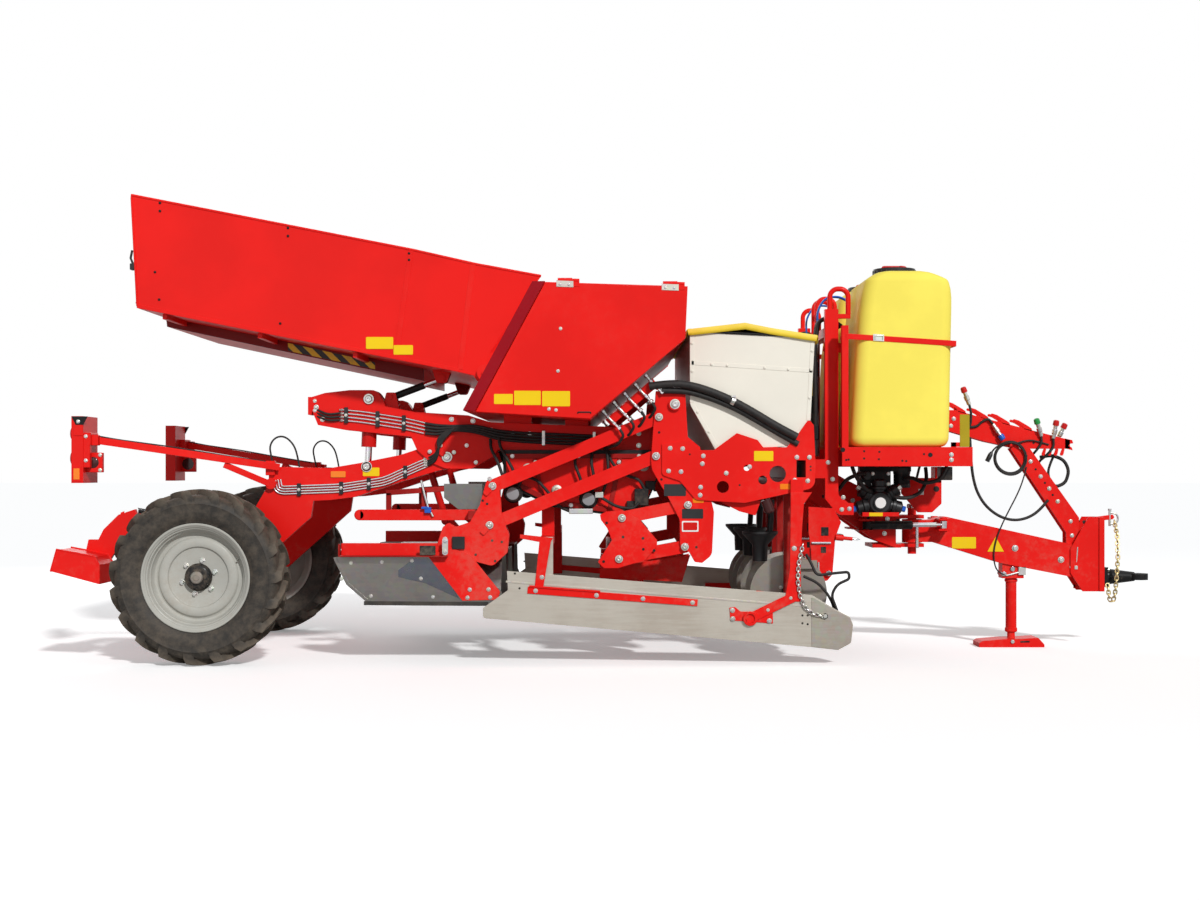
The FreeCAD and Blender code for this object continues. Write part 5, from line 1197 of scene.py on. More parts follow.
# %% Cream hopper seams and rivets
CREAM_Y = -1122
seam_lines = (((392, 1925), (1166, 1874)), ((395, 2120), (395, 1672)), ((1167, 2086), (1139, 1556)),
              ((552, 1392), (400, 1655)), ((1128, 1541), (1006, 1408)))
cream_seams = [ribbon(line, 26, CREAM_Y - 0.2, CREAM_Y + 2.5) for line in seam_lines]
two("cream_seams", joined(*cream_seams), "chassis", cream, bevel=1)
bolts("cream_rivets", [(395, 2050), (395, 1872), (400, 1760), (431, 1610), (504, 1484), (1163, 2000), (1156, 1880),
                       (1146, 1700), (1069, 1475), (620, 1908), (860, 1893), (1010, 1883), (520, 1915)],
      CREAM_Y, "chassis", 7, cream)
two("cream_rim_bar", tube(on_face([(379, 2128), (1180, 2089)], CREAM_Y - 2), 8, 8), "chassis", black_paint, smooth=60)
tell("cream hopper trim")

# %% Tarpaulin
SKIRT, HALF, WIDTH = 42, 1138, 2318


def cover_cloth():
    """Height over X: straight lines between the hoops, with a lip at both ends; over Y: level, then
    down a skirt at both sides. Its folds are two sines of Y multiplied, faded out at every edge."""
    along = np.array((361, 361, 363.5, 372, 395, *np.linspace(430, 700, 12), *np.linspace(734, 894, 9),
                      *np.linspace(930, 1130, 12), 1165, 1188, 1196.5, 1199, 1199))
    height = np.interp(along, (385, 734, 894, 1175), (2142.5, 2181.5, 2149.5, 2104.5))
    rim = 2134 + (along - 385) * (2096 - 2134) / (1175 - 385)
    height = np.where((along < 385) | (along > 1175), rim + 8.5, height)
    lip = np.array((-42, -10, 4))
    height[:3], height[-3:] = rim[:3] + lip, rim[-3:] + lip[::-1]
    u = np.concatenate(((0, 18, 36, SKIRT), np.linspace(48, 2270, 120), (WIDTH - SKIRT, 2282, 2300, WIDTH)))
    across = np.clip(u - SKIRT - HALF + 4, -HALF + 1.5, HALF - 1.5)
    down = np.maximum(0, SKIRT - u) + np.maximum(0, u - (WIDTH - SKIRT))
    edge = np.minimum(1, np.minimum(np.abs(across + HALF), np.abs(across - HALF)) / 160)
    fold = 2.2 * np.sin(across * 0.021 + 1.3) * (1 + 0.5 * np.sin(across * 0.047)) * edge
    fade = np.clip(np.minimum(along - 380, 1180 - along) / 100, 0, 1)
    inner = (along > 366) & (along < 1194)
    x, y = np.meshgrid(along, across, indexing="ij")
    z = height[:, None] - 2.5 + fold[None] * fade[:, None] - down[None] * np.where(inner, 1, 0.02)[:, None]
    return np.stack((x, y, z), -1).reshape(-1, 3), grid_faces(len(along), len(u))


cover = piece("hopper_tarpaulin", cover_cloth(), "chassis", cloth, "tarpaulin", smooth=50, replaces=("tarpaulin",))
thick = cover.modifiers.new("cloth", "SOLIDIFY")
thick.thickness, thick.offset = 0.0015, 0.0

# %% [markdown]
# ## Lamp boards and track boards
# The lamp board behind each wheel has two round red lamps, two amber ones and a bracket that is
# held by a clamp. The track board is folded sheet on a toothed bracket. Each lens is one turned
# profile made along Y; turning its arrays once makes it look to the rear.

# %% Lamps on the boards
BOARD_X = -3515.5


def to_the_rear(solid, x, y, z):
    """A solid made facing -Y, turned by a quarter so that it faces -X, and moved to a place."""
    points, faces = solid
    a, b, c = np.asarray(points).T
    return np.stack((b, -a, c), -1) + (x, y, z), faces


lens = lathe([(1, -16), (30, -16), (40, -11), (43, 0), (46, 0), (46, 12)])
for name, y, heights, finish in (("tail_lamp_red", -1235, (1315, 1470), lamp_red),
                                 ("tail_lamp_amber", -1120, (1470, 1315), lamp_amber)):
    two(name, joined(*[to_the_rear(lens, BOARD_X, y, z) for z in heights]), "swing_{}", finish, smooth=40)
wedge = np.array([(x, y, z) for z in (0, 4) for x, y in ((-50, -40), (50, -40), (0, 45))])
wedge_faces = [[0, 2, 1], [3, 4, 5], [0, 1, 4, 3], [1, 2, 5, 4], [2, 0, 3, 5]]
two("board_triangle", aimed((wedge, wedge_faces), (BOARD_X + 1, -1100, 1220), (-1, 0, 0)), "swing_{}", lamp_red)
side_lamp = lathe([(1, -36), (28, -36), (36, -30), (40, -12), (45, -10), (45, 6)], at=(-3395, -1205, 1287))
two("side_lamp", side_lamp, "swing_{}", lamp_dark, smooth=40)
tell("lamps")

# %% Covers, brackets and wire of the lamp boards
covers = joined(slab((-3500, -1294.5, 1455), (-3440, -1289.5, 1575)),
                slab((-3512, -1294.5, 1165), (-3452, -1289.5, 1265)))
two("board_side_covers", covers, "swing_{}", red, bevel=3)
top_cap = plate([(-3512, 1577), (-3410, 1577), (-3438, 1524), (-3486, 1524)], -1296.2, -1295)
two("board_top_cap", top_cap, "swing_{}", black_paint)
two("board_side_reflector", slab((-3500, -1297.5, 1180), (-3462, -1294, 1250)), "swing_{}", lamp_amber, bevel=3)
bracket = joined(slab((-3445, -1235, 1225), (-3335, -1200, 1350)), slab((-3442, -1285, 1395), (-3395, -1120, 1475)),
                 slab((-3442, -1285, 1255), (-3400, -1245, 1400)))
two("lamp_bracket", bracket, "swing_{}", red, bevel=4)
bolt_places = [(-3425, -1285, 1452), (-3425, -1285, 1300), (-3350, -1235, 1335), (-3350, -1235, 1240),
               (-3470, -1294.5, 1545)]
two("lamp_bracket_bolts", copies(hexagon(9, 8), bolt_places), "swing_{}", bright_zinc)
clamp_bands = joined(slab((-3400, -1262, 1395), (-3355, -1215, 1462)), slab((-2370, -915, 1205), (-2310, -860, 1300)))
two("light_arm_clamps", clamp_bands, "swing_{}", red, bevel=4)
wire = [(-2340, -895, 1290), (-2600, -975, 1330), (-2950, -1080, 1390), (-3250, -1175, 1432), (-3410, -1225, 1462)]
two("lamp_wire", tube(rounded(wire, 50), 4.5, 8), "swing_{}", hose_rubber, smooth=60)
tell("lamp boards")

# %% Track boards
fold = tube(on_face([(-3667, 598), (-3630, 738), (-3391, 693), (-3361, 642), (-3361, 519)], -925), 6, 8)
two("track_board_folds", joined(fold, moved(fold, (0, -300, 0))), "swing_{}", red, smooth=60)
tooth = np.array([(-3320, 962), (-3296, 972), (-3300, 930), (-3322, 920)])
teeth = [plate(tooth + (34 * k, -30 * k), -889, -885) for k in range(4)]
two("track_board_teeth", joined(*teeth), "swing_{}", red)
bolts("track_board_bolts", [(-3327, 866), (-3260, 905), (-3215, 935), (-3415, 740), (-3480, 760), (-3440, 690)],
      ARM_Y, "swing_{}", 11)
pins("track_board_pin", [(-3415, 806)], -887, "swing_{}", 13, chrome)
turn = np.linspace(0, 44 * np.pi, 200)
spring = np.stack((np.linspace(-3200, -2980, 200), -905 + 20 * np.sin(turn),
                   np.linspace(972, 934, 200) + 20 * np.cos(turn)), -1)
two("track_board_spring", tube(spring, 3.5, 6), "swing_{}", black_paint, smooth=60)
tell("track boards")

# %% [markdown]
# ## Planting units
# Behind the links, each row has a belt that carries the tubers down to the furrow. The unit's side
# is a steel plate with its rollers' ends, two oil motors and their hoses. The belt itself is hidden
# from outside, so only the plate, what is bolted to it and the ends of the rollers are made.

# %% Unit side plates and rollers
UNIT_Y = -964
unit_side = plate([(-800, 1345), (175, 1345), (175, 1195), (95, 1012), (-150, 965), (-490, 1012), (-800, 1160)],
                  UNIT_Y - 0.5, UNIT_Y + 4.5)
two("unit_side", unit_side, "chassis", red, bevel=1)
# the unit's frames are in the darker red: painted shade behind the links
frames = [ribbon(line, width, near, UNIT_Y) for line, width, near in
          (([(-790, 1330), (168, 1330)], 30, -975), ([(-792, 1180), (-500, 1030), (-150, 984)], 34, -975),
           ([(-620, 1325), (-560, 1040)], 30, -972), ([(-60, 1325), (-130, 980)], 30, -972))]
two("unit_frames", joined(*frames), "chassis", shade_and_joint_red, bevel=2)
roller = lathe([(34, 0), (34, -10), (28, -14), (14, -14), (14, -26), (10, -30), (1, -30)])
two("unit_rollers", copies(roller, on_face([(-472, 1110), (-660, 1250), (90, 1265)], UNIT_Y)), "chassis", zinc,
    smooth=35)
bolt_spots = [(-760, 1330), (-480, 1330), (-330, 1330), (60, 1330), (150, 1330), (-520, 1040), (-380, 1012),
              (-610, 1290), (-70, 1290)]
two("unit_side_bolts", copies(hexagon(10, 8), on_face(bolt_spots, UNIT_Y - 10)), "chassis", bright_zinc)
tell("planting units")

# %% Oil motors of the units
# a flanged black drum with a grey end plate, one at the belt's tail and one under its middle
MOTORS = on_face([(-754, 1088), (-266, 1052)], UNIT_Y - 2)
drum = lathe([(62, 0), (62, -12), (52, -16), (52, -60), (44, -66), (1, -66)], 40)
two("unit_motor", copies(drum, MOTORS), "chassis", black_paint, smooth=35)
ends = lathe([(40, -66), (40, -70), (22, -72), (1, -72)])
two("unit_motor_ends", copies(ends, MOTORS), "chassis", hook_grey, smooth=35)
ports = joined(slab((-392, -1030, 957), (-238, -985, 992)), slab((-225, -1035, 1060), (-170, -985, 1100)),
               slab((-330, -1025, 1100), (-290, -980, 1135)))
two("unit_motor_ports", ports, "chassis", bright_zinc, bevel=4)
valves = joined(slab((30, -1020, 1010), (120, UNIT_Y, 1120)), slab((100, -1000, 1110), (165, UNIT_Y, 1170)),
                slab((-20, -998, 985), (40, UNIT_Y, 1040)))
two("unit_valves", valves, "chassis", black_paint, bevel=6)
feeds = [[(-300 + 60 * k, -1005, 1120 - 20 * k), (-320 + 90 * k, -1022, 1190), (-360 + 110 * k, -1018, 1290),
          (-330 + 90 * k, -985, 1370), (-300 + 60 * k, -930, 1420)] for k in range(3)]
feeds += [[(-750, -1022, 1150), (-745, -1030, 1230), (-790, -1015, 1310), (-840, -960, 1390), (-850, -925, 1450)],
          [(-790, -1010, 1140), (-820, -1022, 1200), (-850, -1010, 1290), (-900, -960, 1380), (-905, -925, 1440)],
          [(-390, -1010, 975), (-450, -1020, 1000), (-520, -1020, 1090), (-600, -1010, 1180), (-690, -1000, 1200),
           (-720, -1010, 1130)],
          [(60, -1020, 1030), (20, -1024, 990), (-80, -1022, 1000), (-180, -1020, 1060)],
          [(100, -1010, 1110), (60, -1020, 1180), (-40, -1022, 1210), (-120, -1010, 1290), (-150, -960, 1380)]]
two("unit_motor_hoses", hoses(feeds, 10), "chassis", hose_rubber, smooth=60)
tell("unit motors")

# %% Oil fittings under the side cover
# a sloping red bracket carries two rows of elbows; each is a nut, a body and a short hose behind the mast
slope = plate([(-160, 1560), (-120, 1522), (180, 1776), (146, 1822)], LINK_Y, LINK_Y + 8)
two("fitting_bracket", slope, "chassis", red, bevel=2)
elbow = lathe([(1, 0), (14, 0), (14, 16), (10, 20), (10, 42), (15, 44), (15, 60), (1, 60)], 6, "Z")
rows = [(-136 + 68 * k, 1572 + 57 * k) for k in range(5)]
elbows = [aimed(elbow, (x, -1158, z), (-0.62, -0.05, 0.75)) for x, z in rows]
elbows += [aimed(elbow, (x + 30, -1158, z - 30), (0.70, -0.05, -0.70)) for x, z in rows]
two("oil_fittings", joined(*elbows), "chassis", chrome, smooth=30)
bodies = [tube([(x, -1140, z), (x, -1160, z), (x + 26, -1160, z - 26), (x + 30, -1158, z - 30)], 9, 10)
          for x, z in rows]
two("oil_fitting_bodies", joined(*bodies), "chassis", bright_zinc, smooth=50)
drops = [[(x + 66, -1160, z - 68), (x + 96, -1162, z - 110), (x + 60, -1120, z - 170), (x - 10, -1020, z - 190)]
         for x, z in rows[:4]]
two("oil_fitting_hoses", hoses(drops), "chassis", hose_rubber, smooth=60)
tell("oil fittings")

# %% [markdown]
# ## Ridge hood and side shields
# Bare zinc sheet with soil on it. The hood's cheek has a folded crease and a reinforcing plate, and
# a panel and a red rail stand behind the ridger. The long shield carries a red rail outside, a
# hanger, an arm, and a darker wear plate at its front. A crease is a flat strip a few millimetres
# proud, which catches the light as a fold would.

# %% Hood creases and rail
CHEEK_NEAR, CHEEK_FAR = -1136.5, -1133.5
two("hood_crease", ribbon([(-1880, 672), (-1800, 512), (-1678, 408)], 20, CHEEK_NEAR, CHEEK_FAR), "hood",
    cheek_steel, bevel=1)
panel = [(-1479, 600), (-1379, 676), (-1243, 672), (-1090, 420), (-1306, 518), (-1479, 558)]
two("hood_wear_plate", plate(panel, CHEEK_NEAR, CHEEK_FAR), "hood", shade_steel, bevel=1)
two("hood_skirt", ribbon([(-1698, 391), (-1300, 388), (-905, 386)], 26, CHEEK_NEAR - 2, CHEEK_FAR), "hood",
    belt_rubber, bevel=1)
# the tray beam's lip and end are in the darker red: painted shade under the hood
for name, low, high, finish, edge in (
        ("tray_beam_lip", (-1850, -1203, 688), (-1160, -1138, 696), shade_and_joint_red, 2),
        ("tray_beam_end", (-1853, -1200, 692), (-1846, -1140, 770), shade_and_joint_red, 2),
        ("hood_tube_plug", (-1134, -1154, 736), (-1054, -1140, 816), black_plastic, 4),
        ("tray_beam_block", (-1334, -1214, 700), (-1234, -1198, 760), black_paint, 4)):
    two(name, slab(low, high), "hood", finish, bevel=edge)
two("hood_link", plate(rounded_box(-1192, -1155, 700, 812, 18), -1208, -1201), "hood", bright_zinc, bevel=1)
bolts("hood_link_bolts", [(-1173, 790), (-1174, 722)], -1208, "hood", 11)
lock("ridger_lock", [(-877, 1138), (-896, 889)], LINK_Y, "hood", 2.4)
tell("hood trim")

# %% Panel and rail behind the ridger
panel = plate([(-1201, 1151), (-953, 1151), (-953, 986), (-1110, 986), (-1201, 1060)], -985, -981)
two("hood_back_panel", panel, "hood", cheek_steel, bevel=1)
rail = joined(slab((-1745, -987, 914), (-965, -947, 984)),
              lathe([(1, -20), (30, -20), (35, -14), (35, 20), (1, 20)], at=(-1748, -967, 949)))
two("hood_back_rail", rail, "hood", red, bevel=3)
# the rail's frame and arm are in the darker red: painted shade behind the ridger
frame_lines = ((-1560, 984), (-1560, 1092)), ((-1577, 1092), (-1201, 1118)), ((-1330, 984), (-1330, 1108))
two("hood_rail_frame", joined(*[ribbon(line, 34, -984, -960) for line in frame_lines]), "hood", shade_and_joint_red, bevel=2)
two("hood_rail_arm", slab((-1040, -1060, 920), (-970, -980, 978)), "hood", shade_and_joint_red, bevel=3)
rod = tube([(-1347, -1000, 1172), (-1325, -1000, 1080), (-1303, -1000, 1000), (-1270, -1000, 940)], 8, 10)
two("shut_off_rod", rod, "hood", chrome, smooth=50)
valve = joined(slab((-1325, -1016, 962), (-1282, -986, 1000)), slab((-1345, -1020, 988), (-1300, -1008, 1004)))
two("shut_off_valve", valve, "hood", cap_blue, bevel=4)
tell("hood rail")

# %% Shield rail, hanger and brackets
SHIELD_Y = -1186
rail_line = [(-652, 478), (427, 397)]
two("shield_rail_outside", ribbon(rail_line, 44, SHIELD_Y - 8, SHIELD_Y), "chassis", red, bevel=2)
two("shield_rail_lip", ribbon([(-640, 503), (-190, 469)], 12, SHIELD_Y - 16, SHIELD_Y), "chassis", red, bevel=1)
upright = plate([(-700, 832), (-490, 809), (-504, 783), (-553, 490), (-607, 490), (-577, 783), (-700, 806)],
                SHIELD_Y - 10, SHIELD_Y + 4)
two("shield_upright_outside", upright, "chassis", red, bevel=2)
hanger = plate([(1018, 1098), (1018, 1053), (1012, 610), (985, 442), (1000, 405), (1084, 405), (1081, 755),
                (1102, 1025), (1153, 1098)], -1193.5, -1180)
two("shield_hanger_plate", hanger, "chassis", red, bevel=2)
two("hanger_joint", ribbon([(1012, 752), (1084, 752)], 5, -1194.2, -1193), "chassis", shade_and_joint_red)
bracket = plate([(629, 366), (665, 371), (700, 342), (905, 342), (905, 266), (635, 286)], -1192.5, -1185.5)
two("shield_arm_bracket", bracket, "chassis", red, bevel=2)
two("shield_arm", ribbon([(735, 288), (1043, 438)], 62, -1200, -1192.5), "chassis", red, bevel=2)
bolts("shield_rail_bolts", [(-600, 474), (-214, 445), (81, 423), (395, 399), (-560, 560)], SHIELD_Y - 8, "chassis", 11)
tell("shield rail")

# %% Shield crease, wear plate, lifting eye and holes
two("shield_crease", ribbon([(-790, 532), (1110, 376)], 12, SHIELD_Y - 2.5, SHIELD_Y), "chassis", zinc, bevel=1)
wear = plate([(1150, 430), (1165, 430), (1300, 352), (1394, 302), (1411, 256), (1398, 146), (1319, 101),
              (1150, 119)], SHIELD_Y - 3, SHIELD_Y)
two("shield_wear_plate", wear, "chassis", wear_steel, bevel=1)
eye = lathe([(30, -12), (44, -12), (46, -8), (46, 0), (30, 0), (30, -12)], 40, at=(760, -1200, 298))
two("shield_lift_eye", eye, "chassis", red, smooth=40)
dots("shield_holes", [(1093, 317), (1126, 317), (1093, 267), (1126, 261), (-732, 583), (-703, 489)],
     SHIELD_Y - 0.2, "chassis", 7, 12)
tell("shield sheet")

# %% [markdown]
# ## Chains
# A short chain holds the shield, and a long one is the hitch's safety line. One link is a ring of
# wire; the chain is many of them along a hanging line, and every second one is turned by a quarter.
# Each has few faces, since dozens are made.

# %% Chains
def chain(points, wire=4.5, length=30, width=20):
    """Oval links along a line, each turned a quarter turn from the one before it. A link is a circle
    whose two halves stand apart along the chain, and its wire is a hexagon carried round that ring."""
    points = np.asarray(points, float)
    along = np.concatenate(((0,), np.cumsum(np.linalg.norm(np.diff(points, axis=0), axis=1))))
    count = max(2, int(along[-1] / (length - 2.2 * wire)))
    place = np.linspace(0, along[-1], count)
    centre = np.stack([np.interp(place, along, points[:, k]) for k in range(3)], -1)
    ahead = np.gradient(centre, axis=0)
    ahead /= np.linalg.norm(ahead, axis=1)[:, None]
    side = np.cross(ahead, (0.12, 1.0, 0.08))
    side /= np.linalg.norm(side, axis=1)[:, None]
    out = np.where(np.arange(count)[:, None] % 2, side, np.cross(side, ahead))
    turn = np.linspace(0, 2 * np.pi, 14, endpoint=False)[:, None]
    small = np.linspace(0, 2 * np.pi, 6, endpoint=False)[:, None]
    links = []
    for c, a, o in zip(centre, ahead, out):
        ahead_by = np.sign(np.cos(turn)) * (length - width) / 2 + np.cos(turn) * width / 2
        ring = c + ahead_by * a + np.sin(turn) * width / 2 * o
        inward = -np.cos(turn) * a - np.sin(turn) * o
        wires = ring[:, None] + wire * (np.cos(small) * inward[:, None] + np.sin(small) * np.cross(a, o))
        links.append((wires.reshape(-1, 3), grid_faces(14, 6, True, True)))
    return joined(*links)


hanging = chain([(1092, -1202, 760), (1066, -1203, 640), (1062, -1203, 540), (1074, -1202, 450),
                 (1105, -1198, 372), (1158, -1197, 326), (1226, -1197, 312)])
two("hanger_chain", hanging, "chassis", bright_zinc, smooth=60)
two("chain_bolt", copies(hexagon(14, 20), [(1236, SHIELD_Y, 312)]), "chassis", bright_zinc)
tell("hanger chains")

# %% [markdown]
# ## Discs, cups and holders
# Two discs run at the front of each row, and behind them a tube stands in a black placing cup. All
# three rows are alike, so each shape is made once at the middle row and copied by shifting its
# array. The hub caps turn with their discs, so each of those is a piece of its own.

# %% Discs: hub caps, scrapers and their hoses
ROWS = (-750, 0, 750)
DISC_X, DISC_Z = 1032, 441
dish = lathe([(1, -20), (30, -18), (38, -8), (46, 0)])
turn = np.arange(5) * 2 * np.pi / 5
for word, y in zip(("right", "middle", "left"), ROWS):
    piece("disc_hub_cap_" + word, moved(dish, (DISC_X, y - 181, DISC_Z)), "discs_" + word, black_paint, smooth=40)
    ring = np.stack((DISC_X + 62 * np.cos(turn), np.full(5, y - 182.5), DISC_Z + 62 * np.sin(turn)), -1)
    piece("disc_bolts_" + word, copies(hexagon(9, 9), ring), "discs_" + word, bright_zinc)
scraper = joined(*[slab((1055, y - 215, 600), (1215, y - 207, 655)) for y in ROWS])
piece("disc_scrapers", scraper, "chassis", blade_steel, bevel=1)
side_hoses = [[(1130, -1080, 700), (1160, -1110, 640), (1190, -1120, 566), (1290, -1125, 580), (1395, -1130, 590),
               (1400, -1130, 545), (1320, -1130, 510), (1284, -1125, 440), (1320, -1110, 350), (1340, -1080, 300)],
              [(1110, -1090, 560), (1200, -1100, 520), (1262, -1105, 450), (1300, -1100, 380), (1310, -1080, 310)]]
two("front_side_hose", hoses(side_hoses), "chassis", hose_rubber, smooth=60)
tell("disc trim")

# %% Placing cups with their tubes
cup = lathe([(118, 836), (118, 822), (52, 748), (48, 640), (44, 640), (48, 750), (113, 824), (113, 836), (118, 836)],
            48, "Z", (862, 0, 0))
feed_tube = tube([(925, 0, 800), (932, 0, 900), (939, 0, 1045)], 20, 16)
piece("placing_cups", copies(joined(cup, feed_tube), [(0, y - 20, 0) for y in ROWS]), "chassis", black_plastic,
      smooth=40)
side_sheet = plate([(-195, 592), (247, 660), (400, 684), (345, 505), (-195, 535)], -80, -76)
sheets = joined(*[copies(on_side(side_sheet, side), [(0, y, 0) for y in ROWS]) for side in (RIGHT, LEFT)])
piece("opener_side_sheets", sheets, "chassis", red, bevel=1)
tell("placing cups")

# %% Holders that set the discs' depth, one for each row
HOLDERS = [(0, y - 150, 0) for y in ROWS]
holder = joined(plate([(1165, 1000), (1330, 990), (1378, 900), (1341, 800), (1322, 560), (1290, 520), (1247, 510),
                       (1190, 545), (1180, 720), (1165, 840)], -6, 6),
                slab((1170, 6, 930), (1320, 120, 990)), slab((1180, 6, 560), (1200, 60, 880)))
piece("disc_holders", copies(holder, HOLDERS), "chassis", red, bevel=2)
windows = joined(slab((1248, -7.5, 812), (1296, -6, 868)), slab((1246, -7.5, 700), (1280, -6, 740)),
                 lathe([(1, -7.5), (12, -7.5), (12, -6)], 16, at=(1225, 0, 560)))
# the black windows are painted shade in the holder's openings
piece("disc_holder_windows", copies(windows, HOLDERS), "chassis", black_paint)
screws = joined(tube([(1185, -14, 765), (1310, -14, 765)], 8, 10), tube([(1229, -14, 640), (1229, -14, 520)], 8, 10),
                lathe([(1, -34), (16, -34), (20, -28), (20, -6)], 24, at=(1294, 0, 569)),
                aimed(lathe([(1, 0), (7, 0), (7, 35), (2, 50)], 12, "Z"), (1450, -10, 792), (1.0, 0, -0.08)))
piece("disc_holder_screws", copies(screws, HOLDERS), "chassis", chrome, smooth=35)
lever = lathe([(1, 0), (20, 0), (20, 50), (12, 56), (12, 110), (1, 112)], 16, "Z")
lever = aimed(lever, (1341, -10, 802), (1.0, 0, -0.10))
piece("disc_holder_levers", copies(lever, HOLDERS), "chassis", red, smooth=35)
bracket = plate([(560, 1046), (838, 1046), (803, 949), (700, 975)], -1100, -1094)
two("sensor_bracket", bracket, "chassis", red, bevel=1)
sensor = aimed(lathe([(1, 0), (34, 0), (34, 80), (26, 90), (1, 90)], 24, "Z"), (868, -1100, 1050), (0.35, 0, -0.94))
two("sensor", sensor, "chassis", lamp_dark, smooth=35)
tell("disc holders")

# %% [markdown]
# ## Tank tower, pump and valves
# Under the tanks hang a pump with a pressure gauge, a filter bowl and a row of valves. They are
# small, so turned pieces and short hoses tell their story: a profile turned round an axis costs a
# few faces and still shows each flange and neck.

# %% Shade sheet, hoses, valves and bottles on the tower
# a dark red sheet that stands in for the shade in the gap behind the tower
piece("tower_shade_sheet", slab((1262, -700, 1330), (1267, 700, 2100)), "chassis", shade_and_joint_red, bevel=1)
rises = [[(1236, y, 1340), (1240, y - 8, 1700), (1232, y + 6, 2050), (1262, y, 2230), (1330, y + 30, 2260),
          (1420, y + 60, 2200)] for y in (-680, -640, -590, 560, 640)]
piece("tower_hoses", hoses(rises, 14, 12), "chassis", hose_rubber, smooth=60)
boxes = [slab((1205, y, z), (1258, y + 120, z + 100)) for y, z in
         ((-680, 1860), (-660, 1620), (-700, 1440), (500, 1700))]
piece("tower_valves", joined(*boxes), "chassis", black_paint, bevel=6)
bottle = lathe([(1, 0), (30, 0), (34, 6), (34, 80), (20, 95), (1, 97)], 24, "Z")
bottles = copies(bottle, [(1225, -615, 1735), (1225, -615, 1995)])
piece("tower_bottles", bottles, "chassis", tank_yellow, smooth=40)
air_lines = [[(1300, y, 2190), (1296, y, 2330), (1350, y, 2420), (1440, y - 20, 2430), (1530, y - 40, 2380),
              (1560, y - 50, 2300)] for y in (-330, -300, 310)]
piece("tank_air_lines", hoses(air_lines, 7, 8), "chassis", cap_blue, smooth=60)
piece("marker_plate", slab((2208, -642, 1394), (2272, -636, 1610)), "chassis", marker_olive, bevel=1)
stay = joined(slab((2150, -636, 1395), (2240, -628, 1425)), slab((2150, -636, 1330), (2185, -628, 1425)))
piece("marker_stay", stay, "chassis", red, bevel=1)
tell("tower")

# %% Pump: gauge and arms
PUMP = (1676, 0, 1021)
case = lathe([(40, -640), (45, -645), (45, -660), (1, -660)], at=PUMP)
piece("pressure_gauge_case", case, "chassis", black_plastic, smooth=35)
face = lathe([(36, -660.3), (36, -661.5), (1, -661.5)], at=PUMP)
piece("pressure_gauge_face", face, "chassis", label_white)
arm = lathe([(1, 0), (46, 0), (46, 50), (56, 54), (56, 72), (46, 78), (46, 112), (30, 122), (1, 124)], axis="Z")
arm_nut = lathe([(1, 0), (20, 0), (20, 24), (1, 24)], 6, "Z")
hub = np.array(PUMP) + (0, -590, 0)
ARMS = np.array([(-0.80, 0, 0.60), (0.80, 0, 0.60), (-0.97, 0, -0.25), (0.97, 0, -0.25), (0, 0, 1.0)])
star = [aimed(arm, hub + ARMS[k] * 35, ARMS[k]) for k in (0, 1, 4, 2, 3)]
drum = lathe([(1, -642), (66, -642), (80, -630), (80, -545), (1, -545)], 40, at=PUMP)
piece("pump_arms", joined(drum, *star), "chassis", black_plastic, smooth=35)
nuts = [aimed(arm_nut, hub + way * 158, way) for way in ARMS[:4]]
piece("pump_arm_nuts", joined(*nuts[:2]), "chassis", bright_zinc)
piece("pump_arm_caps", joined(*nuts[2:]), "chassis", cap_blue)
tell("pump and gauge")

# %% Pump: tray, heads, filter, hoses and valves
tray = joined(slab((1555, -655, 930), (1800, -480, 938)), slab((1555, -658, 930), (1800, -654, 958)))
piece("pump_tray", tray, "chassis", red, bevel=2)
piece("pump_notice", slab((1600, -659.5, 932), (1690, -657.5, 956)), "chassis", label_yellow)
head = lathe([(1, -30), (26, -30), (30, -24), (30, 0)], 24)
heads = joined(tube([(1681, -562, 1060), (1681, -641, 1030)], 8, 10),
               copies(head, [(1600, -560, 1100), (1720, -560, 1100), (1600, -560, 1200)]))
piece("pump_heads", heads, "chassis", black_plastic, smooth=35)
screws = [(x, -560, z) for x in (1575, 1640, 1745) for z in (1075, 1145, 1215)]
piece("pump_bolts", copies(hexagon(9, 10), screws), "chassis", bright_zinc)
bowl = lathe([(55.5, 0), (58, 4), (58, 20), (55.5, 24), (55.5, 90), (58, 95), (60, 130), (55.5, 134), (55.5, 0)],
             40, "Z", (1850, -470, 1122.5))
piece("filter_ribs", bowl, "chassis", black_plastic, smooth=35)
lines = [[(1620, -560, 1105), (1620, -640, 1090), (1560, -700, 1120), (1500, -720, 1200), (1480, -700, 1262)],
         [(1740, -560, 1100), (1760, -640, 1060), (1860, -660, 1050), (1960, -600, 1090), (2010, -520, 1180),
          (2010, -480, 1255)],
         [(1850, -525, 1180), (1900, -600, 1190), (1960, -680, 1150), (2060, -700, 1170), (2120, -640, 1262)],
         [(1600, -560, 1200), (1560, -620, 1220), (1450, -640, 1180), (1400, -600, 1100), (1330, -400, 1060)]]
piece("pump_hoses", hoses(lines, 13, 12), "chassis", hose_rubber, smooth=60)
handles = [slab((x, -545, 1262), (x + 18, -490, 1300)) for x in (1700, 1760, 1820)]
piece("pump_valve_levers", joined(*handles), "chassis", cap_red, bevel=4)
piece("front_valve_block", slab((2083, -620, 1172), (2164, -500, 1262)), "chassis", black_paint, bevel=6)
carrier = joined(plate([(1867, 1186), (2144, 1186), (2144, 1010), (2080, 950), (1980, 950), (1867, 1080)], -352, -340),
                 slab((2100, -352, 1150), (2144, -200, 1262)))
piece("pump_carrier", carrier, "chassis", red, bevel=3)
tell("pump dressing")

